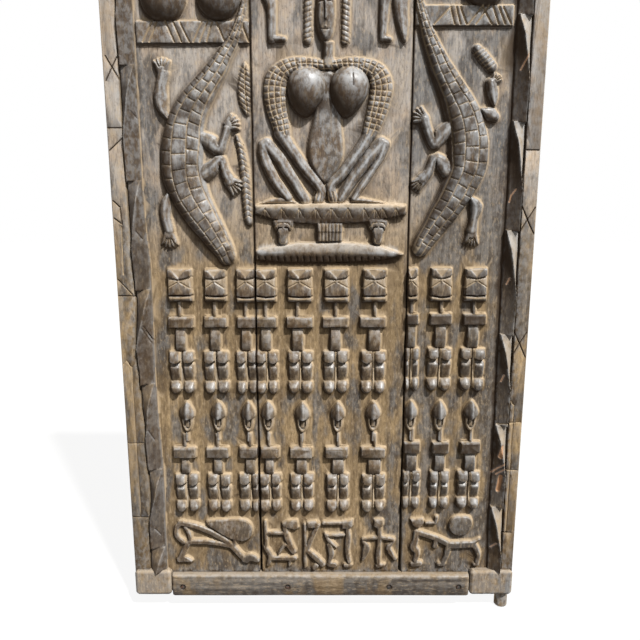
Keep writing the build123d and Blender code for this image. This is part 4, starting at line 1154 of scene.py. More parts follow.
def board_piece(name, face, face_y, back_y, triangles, shift_ends=None, back_step=6.5):
    """Closed board: the carved face, a rougher back and plain sides between them.

    shift_ends gives, for u and level, how far the board's own edges wander from straight.
    """
    outward = 1 if back_y > face_y else -1
    front, column, row = grid_piece(name, len(face.u), len(face.h))
    u, h = face.u[column], face.h[row]
    places = np.stack([LEAF_X + u, face_y - outward * face.height[row, column], h + CARVING_DATUM], 1)
    rough_u, rough_h = [
        np.linspace(ends[0], ends[-1], max(6, round((ends[-1] - ends[0]) / back_step)))
        for ends in (face.u, face.h)
    ]
    back, back_column, back_row = grid_piece(name + "_back", len(rough_u), len(rough_h))
    bu, bh = rough_u[back_column], rough_h[back_row]
    adze = np.abs(random_waves(bu + 0.3 * bh, bh, 26, 44, face.seed + 9))
    adze = 1.3 * adze + 0.5 * np.abs(random_waves(bu, bh, 90, 15, face.seed + 10))
    inner_u = np.minimum(bu - rough_u[0], rough_u[-1] - bu)
    inner_h = np.minimum(bh - rough_h[0], rough_h[-1] - bh)
    sunk = adze * np.clip(np.minimum(inner_u, inner_h) / 12, 0, 1) + 0.2
    back_places = np.stack([LEAF_X + bu, back_y - outward * sunk, bh + CARVING_DATUM], 1)
    if shift_ends:
        places += shift_ends(places)
        back_places += shift_ends(back_places)
    set_places(front, places)
    set_places(back, back_places)
    only(front, back)
    bpy.ops.object.join()
    edit("DESELECT")
    bpy.ops.mesh.select_mode(type="EDGE")
    bpy.ops.mesh.select_non_manifold()
    bpy.ops.mesh.bridge_edge_loops()
    bpy.ops.mesh.select_all(action="SELECT")
    bpy.ops.mesh.normals_make_consistent(inside=False)
    end_edit()
    count = 2 * len(front.data.polygons)
    if count > triangles:
        thinner = front.modifiers.new("thinner", "DECIMATE")
        thinner.ratio = triangles / count
        bpy.ops.object.modifier_apply(modifier=thinner.name)
    bpy.ops.object.shade_smooth_by_angle(angle=math.radians(SMOOTH_TO))
    paint_layers(front, face, face_y, back_y)
    return front


def paint_layers(piece, face, face_y, back_y):
    """Writes a face's layers to the piece as its colour attributes."""
    x, y, z = places_of(piece).T / MM
    u, h = x - LEAF_X, z - CARVING_DATUM
    limit = face_y * (1 - FACE_SHARE) + back_y * FACE_SHARE
    on_face = (np.abs(y - back_y) > abs(limit - back_y)).astype(float)
    layers = {**shape_layers(face), **{name: getattr(face, name) for name in LAYERS}}
    read = {name: sampled(values, face, u, h) * on_face for name, values in layers.items()}
    edges = np.minimum(u - u.min(), u.max() - u)
    seam = sampled(face.grime, face, u, h) * (edges < 4) * (1 - on_face)
    read["grime"] = np.maximum(read["grime"], seam)
    read["cool"] = np.full(u.shape, face.cool)
    read["spare"] = np.zeros(u.shape)
    for name, channels in ATTRIBUTES.items():
        write_colour(piece.data, name, [read[channel] for channel in channels])


def write_colour(mesh, name, channels):
    """Adds a colour attribute with a value of each channel for every vertex."""
    attribute = mesh.attributes.new(name, "FLOAT_COLOR", "POINT")
    values = np.stack(channels, 1).astype(np.float32)
    attribute.data.foreach_set("color", values.ravel())


def finish_piece(piece, material, slot, *nodes):
    """Gives a piece its material and its place in the frame."""
    piece.data.materials.clear()
    piece.data.materials.append(material)
    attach(piece, "root")
    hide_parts(*nodes)
    return piece


# ---- Materials ----


class Wire:
    """A socket of a material. Sums and products of wires add the Math nodes that work them out."""

    def __init__(self, tree, socket):
        self.tree = tree
        self.socket = socket

    def node(self, kind, settings=None, output=0, **inputs):
        """Any node of the tree, its settings made first and then its sockets set or linked.

        A socket is named, or numbered as _0, _1 and so on.
        """
        made = self.tree.nodes.new(kind)
        for key, value in (settings or {}).items():
            setattr(made, key, value)
        for key, value in inputs.items():
            socket = made.inputs[int(key[1:])] if key[1:].isdigit() else made.inputs[key.replace("_", " ")]
            if isinstance(value, Wire):
                self.tree.links.new(value.socket, socket)
            else:
                socket.default_value = value
        return Wire(self.tree, made.outputs[output])

    def maths(self, operation, first, second=0.0, clamp=False):
        kind = {"operation": operation, "use_clamp": clamp}
        return self.node("ShaderNodeMath", kind, _0=first, _1=second)

    def __add__(self, other):
        return self.maths("ADD", self, other)

    def __sub__(self, other):
        return self.maths("SUBTRACT", self, other)

    def __rsub__(self, other):
        return self.maths("SUBTRACT", other, self)

    def __mul__(self, other):
        return self.maths("MULTIPLY", self, other)

    __radd__ = __add__
    __rmul__ = __mul__

    def clamped(self):
        return self.maths("ADD", self, 0.0, clamp=True)

    def stepped(self, low, high):
        """0 below low, 1 above high, smooth between."""
        kind = {"interpolation_type": "SMOOTHSTEP"}
        return self.node("ShaderNodeMapRange", kind, _0=self, _1=low, _2=high)

    def blend(self, first, second):
        """Mix of two colours, this wire its share of the second."""
        colours = {"_6": first, "_7": second}
        for key, colour in colours.items():
            if not isinstance(colour, Wire):
                colours[key] = (*colour, 1)
        kind = {"data_type": "RGBA", "clamp_factor": True}
        return self.node("ShaderNodeMix", kind, output=2, _0=self, **colours)

    def channels(self):
        """Red, green and blue of a colour."""
        split = self.tree.nodes.new("ShaderNodeSeparateColor")
        self.tree.links.new(self.socket, split.inputs[0])
        return [Wire(self.tree, split.outputs[i]) for i in range(3)]


def new_material(name):
    """Empty material with its shader; returns it, the shader and a wire to start from."""
    material = bpy.data.materials.new(name)
    material.use_nodes = True
    tree = material.node_tree
    shader = tree.nodes["Principled BSDF"]
    place = tree.nodes.new("ShaderNodeTexCoord")
    return material, shader, Wire(tree, place.outputs["Object"])


def link(wire, shader, socket):
    """Runs a wire to a socket of another node."""
    wire.tree.links.new(wire.socket, shader.inputs[socket])


def noise(place, scale, detail, roughness, distortion=0.0):
    """Noise from 0 to 1 over place, with scale waves to a metre along each axis."""
    scaled = place.node("ShaderNodeMapping", _0=place, _3=scale)
    sockets = {"_0": scaled, "_2": 1.0, "_3": detail, "_4": roughness, "_8": distortion}
    return place.node("ShaderNodeTexNoise", **sockets)


def read_layers(place, name):
    """The four channels of a piece's colour attribute."""
    tree = place.tree
    made = tree.nodes.new("ShaderNodeAttribute")
    made.attribute_name = name
    return Wire(tree, made.outputs["Color"]).channels() + [Wire(tree, made.outputs["Alpha"])]


def carved_wood(name, wood, grain, worked=1.0):
    """Old carved hardwood: grey weathered streaks, dusty ochre in its hollows and tops worn bright, with
    painted shade in hollows and on slopes away from the key lamp, and painted light, highlights and sky
    reflection.

    grain tells how the fibres lie: the scale of the noise across, through and along the board.
    """
    material, shader, place = new_material(name)
    hollow, ledge, under, worn = read_layers(place, "shape")
    dust_and_light, fresh, grime, halo = read_layers(place, "marks")
    form, pale, _, cool = read_layers(place, "zones")
    fibre = noise(place, [g * 420 for g in grain], 4, 0.6)
    streak = noise(place, [g * 46 for g in grain], 3, 0.6, distortion=0.4)
    patch = noise(place, (15, 15, 8), 4, 0.62)
    blotch = noise(place, (17, 17, 6.5), 4, 0.6, distortion=0.25)
    mottle = noise(place, (75, 75, 55), 3, 0.6)
    grit = noise(place, [g ** 0.35 * 170 for g in grain], 4, 0.68)
    speck = noise(place, (300, 300, 200), 2, 0.5)
    scratch = noise(place, [g * 900 for g in grain], 1, 0.5)

    tone = streak.stepped(0.30, 0.62).blend(wood.dark, wood.warm)
    tone = (patch.stepped(0.40, 0.66) * 0.6 + halo * 0.55).clamped().blend(tone, wood.ochre)
    tone = (mottle.stepped(0.44, 0.66) * 0.35).blend(tone, wood.dark)
    up = place.node("ShaderNodeSeparateXYZ", output=2, _0=place)
    # Painted sky reflection with some pale bleach: the upper part turns towards the bloom colour, bluer on
    # greyer planks
    bloom_and_sheen = ((cool * 0.4 + 0.48) * patch.stepped(0.40, 0.54)).blend(wood.bloom_and_sheen, wood.rubbed_and_highlight)
    tone = (up.stepped(0.80, 1.20) * (0.40 + blotch * 0.75)).clamped().blend(tone, bloom_and_sheen)
    tone = ((1 - up.stepped(0.10, 0.34)) * 0.38).blend(tone, wood.dark)
    grey = (blotch + cool * 0.18 - halo * 0.20).stepped(0.47, 0.63)
    slate = (streak * 0.5 + mottle * 0.5).stepped(0.42, 0.56).blend(wood.slate, wood.grey)
    tone = (grey * 0.80).blend(tone, slate)
    raised = patch.stepped(0.42, 0.60).blend(wood.polished, wood.handled)
    raised = (mottle.stepped(0.46, 0.66) * 0.38).blend(raised, wood.warm)
    raised = (((cool - 0.15) * 1.3).clamped() * blotch.stepped(0.34, 0.54)).blend(raised, wood.slate)
    tone = (form * 0.90).blend(tone, raised)
    tone = (fibre.stepped(0.35, 0.75) * 0.30).blend(tone, wood.darkest_and_shade)
    tone = (scratch.stepped(0.62, 0.72) * 0.30).blend(tone, wood.darkest_and_shade)
    tone = (grit.stepped(0.50, 0.66) * 0.38).blend(tone, wood.darkest_and_shade)
    tone = ((1 - grit.stepped(0.36, 0.48)) * (0.30 - form * 0.12)).blend(tone, wood.dust_and_light)
    # Painted shade: hollows and slopes facing away from the key lamp darken towards the darkest colour
    tone = (hollow * 0.62 * (1 - dust_and_light)).clamped().blend(tone, wood.darkest_and_shade)
    tone = (under * 0.85).blend(tone, wood.darkest_and_shade)
    # Dust and painted light: ledges facing up and towards the key lamp take the dust colour
    tone = (ledge * (1 - worn * 0.5) * (0.70 - form * 0.58)).blend(tone, wood.dust_and_light)
    tone = (worn * mottle.stepped(0.40, 0.62) * (0.34 - form * 0.22)).blend(tone, wood.rubbed_and_highlight)
    # Painted highlight: the raised forms' slopes that face the key lamp take the bluish rubbed colour
    lit = (streak * 0.5 + mottle * 0.5).stepped(0.40, 0.60)
    tone = (form * ledge * lit * 0.55).blend(tone, wood.rubbed_and_highlight)
    # Painted sky reflection: bluish flecks on the raised forms of the upper part
    painted_sheen_fleck = (grit * 0.5 + mottle * 0.5).stepped(0.46, 0.58) * (1 - under)
    tone = (form * up.stepped(0.80, 1.15) * painted_sheen_fleck * 0.32).blend(tone, wood.rubbed_and_highlight)
    # Wear and painted highlights of the pale layer, in the bluish rubbed colour
    tone = (pale * mottle.stepped(0.20, 0.60) * 0.65).blend(tone, wood.rubbed_and_highlight)
    # Dust in cuts, with the painted lit rims and ridges that the dust layer also holds
    tone = (dust_and_light * (0.50 + 0.5 * mottle)).clamped().blend(tone, wood.dust_and_light)
    # Grime, with the painted shadows and shade that the grime layer also holds
    tone = (grime * 0.9).blend(tone, wood.darkest_and_shade)
    tone = (fresh * 0.85).blend(tone, wood.fresh)
    tone = (speck.stepped(0.60, 0.72) * 0.25).blend(tone, wood.darkest_and_shade)
    link(tone, shader, "Base Color")

    dull = 0.62 + 0.25 * fibre - 0.18 * form - 0.14 * worn - 0.2 * pale + 0.3 * dust_and_light + 0.15 * ledge
    link(dull.clamped(), shader, "Roughness")
    shader.inputs["Specular IOR Level"].default_value = 0.10
    sheen = form * (0.55 + 0.45 * worn) + pale * 0.5 + grey * 0.25
    sheen = sheen * (1 - dust_and_light) * (1 - under) * (1 - grime * 0.6)
    link((sheen * (0.15 + 0.45 * mottle.stepped(0.3, 0.6))).clamped(), shader, "Coat Weight")
    shader.inputs["Coat Roughness"].default_value = 0.34
    relief = (fibre * 0.5 + streak * 0.5 + speck * 0.2 + scratch * 0.3) * (1 - form * 0.4)
    relief = relief + mottle * form * 0.9 - grit * 0.5
    bump = place.node("ShaderNodeBump", Strength=0.6 * worked, Distance=0.0016, Height=relief)
    link(bump, shader, "Normal")
    return material


def forged_iron(name, iron):
    """Dark wrought iron with brown rust in its pits."""
    material, shader, place = new_material(name)
    pits = noise(place, (420, 420, 420), 4, 0.6)
    bloom_and_sheen = noise(place, (90, 90, 90), 3, 0.6)
    tone = bloom_and_sheen.stepped(0.42, 0.62).blend(iron.metal, iron.rust)
    tone = (pits.stepped(0.5, 0.7) * 0.5).blend(tone, (0.012, 0.010, 0.009))
    link(tone, shader, "Base Color")
    link((0.45 + 0.4 * bloom_and_sheen).clamped(), shader, "Roughness")
    link((1 - bloom_and_sheen.stepped(0.35, 0.6) * 0.8).clamped(), shader, "Metallic")
    bump = place.node("ShaderNodeBump", Strength=0.6, Distance=0.0006, Height=pits)
    link(bump, shader, "Normal")
    return material


# ---- What a user may set ----


def colour(label, about, rgb):
    """Setting for one colour."""
    return FloatVectorProperty(name=label, description=about, subtype="COLOR", min=0, max=1, default=rgb)


def length(label, about, default, low, high):
    """Setting for a length, in metres."""
    return FloatProperty(name=label, description=about, default=default, min=low, max=high, unit="LENGTH")


class GRANARY_PG_wood(bpy.types.PropertyGroup):
    """Colours of the old wood."""

    dark: colour("Dark heart", "Darker streaks of the field", (0.115, 0.078, 0.046))
    warm: colour("Warm brown", "Main brown of the field", (0.25, 0.178, 0.098))
    ochre: colour("Ochre", "Dusty patches", (0.40, 0.285, 0.155))
    grey: colour("Weathered grey", "Grey streaks", (0.135, 0.132, 0.130))
    slate: colour("Dark slate", "Darkest of the grey streaks", (0.047, 0.045, 0.045))
    polished: colour("Raised forms", "Wood of the raised forms", (0.074, 0.046, 0.026))
    handled: colour("Handled forms", "Greyer patches of the raised forms", (0.060, 0.047, 0.037))
    # Also the colour of painted highlights and sky reflection on the raised forms
    rubbed_and_highlight: colour("Rubbed tops", "High spots rubbed bright", (0.42, 0.435, 0.45))
    # Painted sky reflection on the upper part, with some pale bleach
    bloom_and_sheen: colour("Bloom", "Pale bloom of the upper part", (0.48, 0.40, 0.33))
    # Also the colour of painted light on ledges facing the key lamp
    dust_and_light: colour("Dust", "Dust in cuts and on ledges", (0.50, 0.385, 0.25))
    # Also the colour of painted shade in hollows and on slopes away from the key lamp
    darkest_and_shade: colour("Grime", "Deepest hollows", (0.030, 0.018, 0.010))
    fresh: colour("Young wood", "Chips that show younger wood", (0.42, 0.235, 0.125))


class GRANARY_PG_iron(bpy.types.PropertyGroup):
    """Colours of the nails."""

    metal: colour("Iron", "Bare wrought iron", (0.09, 0.085, 0.08))
    rust: colour("Rust", "Brown rust", (0.075, 0.034, 0.018))


class GRANARY_PG_sizes(bpy.types.PropertyGroup):
    """Sizes of the work, in metres."""

    fineness: length("Carving fineness", "Spacing of the worked points of a face", 0.0016, 0.001, 0.006)
    tool_depth: length("Tool marks", "Depth of the adze hollows in the field", 0.00055, 0, 0.003)


class GRANARY_PG_door(bpy.types.PropertyGroup):
    """Everything that can be set on the door."""

    wood: PointerProperty(type=GRANARY_PG_wood, name="Wood", description="Colours of the wood")
    iron: PointerProperty(type=GRANARY_PG_iron, name="Iron", description="Colours of the nails")
    sizes: PointerProperty(type=GRANARY_PG_sizes, name="Sizes", description="Sizes of the work")


FOOT_INSET = 3  # of a plank's side and back inside its feet
SEAM_CLOSE = 2.15  # of a plank's back edges towards their neighbours
GRAIN_UP = (1, 1, 0.045)
GRAIN_ACROSS = (0.045, 1, 1)
PLANK_TRIANGLES = 190000
RAIL_TRIANGLES = 120000
LEDGE_TRIANGLES = 90000
FOOT_TRIANGLES = 60000
LEFT_FOOT_REACH, RIGHT_FOOT_REACH = 403, 386  # from the leaf's middle to a foot's inner side
PLAIN_HALO = 0.4  # of dust on the plain boards


def plank_material(context):
    """The planks' wood, made once."""
    found = bpy.data.materials.get("old_carved_wood")
    return found or carved_wood("old_carved_wood", context.scene.granary_door.wood, GRAIN_UP)


def wander(left, right, foot_reach=None):
    """Shift of a plank's long edges: left and right are (at the foot, at the top), in mm.

    A side of None is an outer side and stays, but draws in under the feet, which reach from
    foot_reach outwards. The seams close at the back.
    """

    def shift(places):
        u, z = places[:, 0] - LEAF_X, places[:, 2]
        t = np.clip(z / 650, 0, 1)
        low, high = u.min(), u.max()
        wave = 0.4 * np.sin(z / 57) + 0.3 * np.sin(z / 23 + 1)
        at_back = places[:, 1] > BACK_Y - 5
        under_foot = (z < FOOT_HEIGHT - 8) | (z > LEAF_TOP - FOOT_HEIGHT + 8)
        moved = np.zeros(places.shape)
        for side, near, outward in ((left, u - low, -1), (right, high - u, 1)):
            if side:
                in_front = side[0] * (1 - t) + side[1] * t + wave
                aside = np.where(at_back, outward * SEAM_CLOSE, in_front)
                moved[:, 0] += np.clip(1 - near / 12, 0, 1) * aside
            else:
                moved[:, 0] -= outward * FOOT_INSET * under_foot * (near < 12)
        if foot_reach:
            moved[:, 1] -= FOOT_INSET * under_foot * at_back * (np.abs(u) > foot_reach + 8)
        return moved

    return shift


def plank_carving(context, low, high, seed, cool):
    """A plank's face with nothing but its worked field; cool is how grey it has weathered."""
    sizes = context.scene.granary_door.sizes
    u_ends = (low[0] - LEAF_X, high[0] - LEAF_X)
    h_ends = (TONGUE_SHORT - CARVING_DATUM, LEAF_TOP - TONGUE_SHORT - CARVING_DATUM)
    face = Carving(u_ends, h_ends, sizes.fineness / MM, seed)
    face.cool = cool
    work_field(face, sizes.tool_depth / MM)
    return face


def finish_plank(context, node, face, *edges):
    """Makes the plank's piece; edges tell how its long sides wander."""
    piece = board_piece(node, face, FIELD_Y, BACK_Y, PLANK_TRIANGLES, wander(*edges))
    finish_piece(piece, plank_material(context), "carved_wood", node)


class GRANARY_OT_plank_left(bpy.types.Operator):
    """Left plank: crocodile, ancestors, a lying figure and the left border."""

    bl_idname = "granary.plank_left"
    bl_label = "Left plank"

    def execute(self, context):
        face = plank_carving(context, LEFT_LOW, LEFT_HIGH, seed=11, cool=0.42)
        strokes = [(-410, -388), (-395, -376), (-338, -357), (-322, -340), (-305, -325), (-296, -275),
                   (-282, -262), (-266, -252), (-225, -243), (-172, -186)]
        hatched_band(face, -425, -166, BAND_LEVELS["left"], strokes)
        hatched_band(face, -425, -166, TOP_BAND, stroke_run(-425, -166, 17, 3))
        for u, h, reach in ((-358, 1488, 52), (-235, 1489, 49)):
            face.dome(u, h, reach, reach, BOSS)
        left_animals(face)
        ancestor_rows(face, UPPER_LEFT, LOWER_LEFT, 0)
        frieze(face, UPPER_LEFT, FRIEZE_LEVEL)
        scene_forms(face, LEFT_SCENE, [curve(PADDLE, closed=True, steps=3)])
        leave_plinth(face)
        lines = (LEFT_GROOVE, LEFT_CORNER, LEFT_BREAKS)
        twisted_border(face, *lines, outward=-1, top_crest=24, heel=6, looks=LEFT_LOOKS, more={})
        border_marks(face, LEFT_BOARD_CUTS)
        for line in LEFT_NICKS:
            face.cut(line, 4, 2, 14, dusty=0)
            face.mark("grime", line, 1.5, 0.4, 14)
        plank_ends(face, LEFT_FOOT_REACH, outward=-1)
        ease_sides(face, (1,))
        finish_plank(context, "plank_left", face, None, (-1.2, 0.8), LEFT_FOOT_REACH)
        return {"FINISHED"}


class GRANARY_OT_plank_centre(bpy.types.Operator):
    """Centre plank: the seated woman on her stool, ancestors and small scenes."""

    bl_idname = "granary.plank_centre"
    bl_label = "Centre plank"

    def execute(self, context):
        face = plank_carving(context, CENTRE_LOW, CENTRE_HIGH, seed=23, cool=0.2)
        for line in STANDING:
            face.limb(curve(line, steps=3), 12)
        hatched_band(face, -170, 204, TOP_BAND, stroke_run(-165, 204, 17, 5))
        stool(face)
        seated_figure(face)
        ancestor_rows(face, UPPER_CENTRE, LOWER_CENTRE, 0)
        frieze(face, UPPER_CENTRE, FRIEZE_LEVEL)
        scene_forms(face, CENTRE_SCENE, SCENE_HEADS)
        leave_plinth(face)
        plank_ends(face)
        ease_sides(face, (-1, 1))
        finish_plank(context, "plank_centre", face, (1.8, -0.9), (-0.8, 0.8))
        return {"FINISHED"}


class GRANARY_OT_plank_right(bpy.types.Operator):
    """Right plank: crocodile, ancestors, a figure behind an animal and the right border."""

    bl_idname = "granary.plank_right"
    bl_label = "Right plank"

    def execute(self, context):
        face = plank_carving(context, RIGHT_LOW, RIGHT_HIGH, seed=37, cool=0.8)
        strokes = [(246, 283), (292, 281), (305, 294), (318, 303), (322, 352), (340, 366), (375, 352),
                   (390, 376), (405, 388), (418, 398)]
        hatched_band(face, 200, 424, BAND_LEVELS["right"], strokes)
        hatched_band(face, 200, 424, TOP_BAND, stroke_run(205, 424, 17, 8))
        face.dome(355, 1516, 49, 49, BOSS)
        right_animals(face)
        ancestor_rows(face, UPPER_RIGHT, LOWER_RIGHT, ROW_RISE_RIGHT)
        frieze(face, UPPER_RIGHT, FRIEZE_LEVEL)
        scene_forms(face, RIGHT_SCENE, [MAN_HEAD, curve(SHIELD, closed=True, steps=3)])
        leave_plinth(face)
        lines = (RIGHT_GROOVE, RIGHT_CORNER, RIGHT_BREAKS)
        looks = {"looks": RIGHT_LOOKS, "more": RIGHT_UPPER}
        twisted_border(face, *lines, outward=1, top_crest=27, heel=5, **looks)
        border_marks(face, RIGHT_BOARD_CUTS)
        for line in RIGHT_SPLINTERS:
            scar(face, line, 1.6, 1.5, top=16)
            face.mark("pale", line, 1.8, 1.0, 16)
        for line in RIGHT_RAW_PLACES:
            scar(face, line, 4.5, 4.0, top=14)
        plank_ends(face, RIGHT_FOOT_REACH, outward=1)
        ease_sides(face, (-1,))
        finish_plank(context, "plank_right", face, (3.6, -0.5), None, RIGHT_FOOT_REACH)
        return {"FINISHED"}


def plain_board(low, high, seed, fineness, ease, rough, cool, bulge=0.0, grain_up=True, form=0.0):
    """Face of a board with worn edges; low and high are two of its corners, in mm."""
    u_ends = (low[0] - LEAF_X, high[0] - LEAF_X)
    h_ends = (low[2] - CARVING_DATUM, high[2] - CARVING_DATUM)
    face = Carving(u_ends, h_ends, fineness, seed)
    u, h = np.meshgrid(face.u, face.h)
    away_u = np.minimum(u - face.u[0], face.u[-1] - u)
    away_h = np.minimum(h - face.h[0], face.h[-1] - h)
    half = (face.h[-1] - face.h[0]) / 2
    face.height -= bulge * (1 - np.sqrt(hump(1 - away_h / half, 1)))
    face.height -= ease * (2 - rounded(away_u, ease * 2) - rounded(away_h, ease * 2))
    across, along = (9, 120) if grain_up else (120, 9)
    waves = random_waves(u, h, across * 3, along, seed + 1)
    waves = waves + 0.5 * random_waves(u, h, across, along, seed + 2)
    face.height += rough * (waves - 1.2)
    face.form += form
    face.halo += PLAIN_HALO
    face.cool = cool
    return face


class GRANARY_OT_feet(bpy.types.Operator):
    """The plain blocks at both ends of the two borders."""

    bl_idname = "granary.feet"
    bl_label = "Feet"

    def execute(self, context):
        feet = {
            "left": (LEFT_LOW[0], LEFT_LOW[0] + 95, "plank_left"),
            "right": (RIGHT_HIGH[0] - 112, RIGHT_HIGH[0], "plank_right"),
        }
        ends = {"bottom": (0, FOOT_HEIGHT), "top": (LEAF_TOP - FOOT_HEIGHT, LEAF_TOP)}
        seed = 50
        for side, (x_low, x_high, node) in feet.items():
            for end, (z_low, z_high) in ends.items():
                seed += 5
                low, high = (x_low, FIELD_Y - FOOT_PROUD, z_low), (x_high, BACK_Y, z_high)
                face = plain_board(low, high, seed, 1.6, ease=4, rough=0.7, cool=0.6)
                face.pale += 0.35
                name = f"{side}_{end}_foot"
                piece = board_piece(name, face, low[1], high[1], FOOT_TRIANGLES, corner_rounding(7))
                finish_piece(piece, plank_material(context), "carved_wood", node)
        return {"FINISHED"}


def corner_rounding(radius):
    """Pulls the corners of a block in to a round."""

    def shift(places):
        moved = np.zeros(places.shape)
        low, high = places.min(0), places.max(0)
        for axis, other in ((0, 2), (2, 0)):
            near = np.minimum(places[:, other] - low[other], high[other] - places[:, other])
            pull = radius * (1 - np.sqrt(hump(1 - np.clip(near / radius, 0, 1), 1)))
            middle = (low[axis] + high[axis]) / 2
            share = (places[:, axis] - middle) / (high[axis] - middle)
            moved[:, axis] = -0.5 * pull * np.sign(share) * np.abs(share) ** 6
        return moved

    return shift


class GRANARY_OT_pintles(bpy.types.Operator):
    """Whittled pintles at both ends of the right plank."""

    bl_idname = "granary.pintles"
    bl_label = "Pintles"

    def execute(self, context):
        ends = {"bottom_pintle": (RIGHT_LOW[2], 8, 17.5), "top_pintle": (LEAF_TOP - 8, RIGHT_HIGH[2], 16)}
        for seed, (name, (z_low, z_high, radius)) in enumerate(ends.items()):
            bpy.ops.object.select_all(action="DESELECT")
            middle = (0, 0, (z_low + z_high) / 2 * MM)
            bpy.ops.mesh.primitive_cylinder_add(
                vertices=64, radius=radius * MM, depth=(z_high - z_low) * MM, location=middle
            )
            piece = bpy.context.object
            piece.name = name
            bpy.ops.object.transform_apply(location=True, rotation=True, scale=True)
            edit("SELECT")
            bpy.ops.mesh.inset(thickness=0.003, use_individual=False)
            end_edit()
            bevel = piece.modifiers.new("worn_end", "BEVEL")
            bevel.width = 3.5 * MM
            bevel.segments = 4
            bevel.angle_limit = math.radians(60)
            bpy.ops.object.modifier_apply(modifier=bevel.name)
            edit("SELECT")
            bpy.ops.mesh.bisect(plane_co=(0, 0, (z_low + 14) * MM), plane_no=(0, 0, 1))
            bpy.ops.mesh.select_all(action="SELECT")
            bpy.ops.mesh.subdivide(number_cuts=3)
            end_edit()
            co = places_of(piece) / MM
            turn = np.arctan2(co[:, 1], co[:, 0])
            facets = 0.5 * np.abs(np.sin(turn * 6.5 + co[:, 2] / 40))
            facets = facets + 0.5 * np.abs(np.sin(turn * 3 + seed))
            co[:, :2] *= (1 - 0.05 * facets)[:, None]
            set_places(piece, co)
            only(piece)
            bpy.ops.object.shade_smooth_by_angle(angle=math.radians(45))
            finish_piece(piece, plank_material(context), "carved_wood", "plank_right")
        return {"FINISHED"}


class GRANARY_OT_rails(bpy.types.Operator):
    """Sill rail and head rail across the planks' ends, with rounded worn faces."""

    bl_idname = "granary.rails"
    bl_label = "Rails"

    def execute(self, context):
        door = context.scene.granary_door
        material = carved_wood("old_rail_wood", door.wood, GRAIN_ACROSS, worked=1.3)
        for seed, node in ((71, "bottom_rail"), (83, "top_rail")):
            low, high = box_mm(node)
            wear = {"ease": 3, "bulge": 7, "rough": 0.9, "cool": 0.9, "form": 0.45}
            face = plain_board(low, high, seed, 1.8, grain_up=False, **wear)
            sink_nail_seats(face, node + "_nails")
            piece = board_piece(node, face, low[1], high[1], RAIL_TRIANGLES)
            finish_piece(piece, material, "rail_wood", node)
        return {"FINISHED"}


def middles_of(node):
    """Middle across and up of each nail of a CAD node, in mm: points near each other are one nail's."""
    co = np.array([v.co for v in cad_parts[node].data.vertices]) / MM
    squares = {}
    for x, _, z in co:
        squares.setdefault((round(x / 16), round(z / 16)), []).append((x, z))
    nails = []
    for points in squares.values():
        points = np.array(points)
        for index, nail in enumerate(nails):
            if np.hypot(*(nail.mean(0) - points.mean(0))) < 12:
                nails[index] = np.vstack([nail, points])
                break
        else:
            nails.append(points)
    return [tuple((points.min(0) + points.max(0)) / 2) for points in nails]


def sink_nail_seats(face, nails):
    """Seats in a rail's face for its nails' heads, with grime round them."""
    for x, z in middles_of(nails):
        u, h = x - LEAF_X, z - CARVING_DATUM
        part = face.near([(u, h)], 12)[0]
        r = np.hypot(face.u[part[1]][None, :] - u, face.h[part[0]][:, None] - h)
        face.height[part] -= 4.5 * (1 - smooth_step(r, 5, 8))
        face.tint("grime", 1 - smooth_step(r, 5.5, 12), part)


class GRANARY_OT_ledges(bpy.types.Operator):
    """The three adzed ledges on the back."""

    bl_idname = "granary.ledges"
    bl_label = "Back ledges"

    def execute(self, context):
        door = context.scene.granary_door
        material = carved_wood("old_batten_wood", door.wood, GRAIN_ACROSS, worked=1.6)
        nodes = ("back_batten_lower", "back_batten_middle", "back_batten_upper")
        for seed, node in zip((91, 97, 103), nodes):
            low, high = box_mm(node)
            wear = {"ease": 3.5, "bulge": 2, "rough": 1.0, "cool": 0.8}
            face = plain_board(low, high, seed, 2.2, grain_up=False, **wear)
            piece = board_piece(node, face, high[1], low[1], LEDGE_TRIANGLES)
            finish_piece(piece, material, "batten_wood", node)
        return {"FINISHED"}


NAIL_RADIUS = 5.0
NAIL_THICK, NAIL_CROWN = 2.4, 0.3  # of the head: its rim, and its middle over the rim
NAIL_TOP = 2.7  # both together
SHANK_RADIUS = 1.9
SHANK_TAPER = 0.45


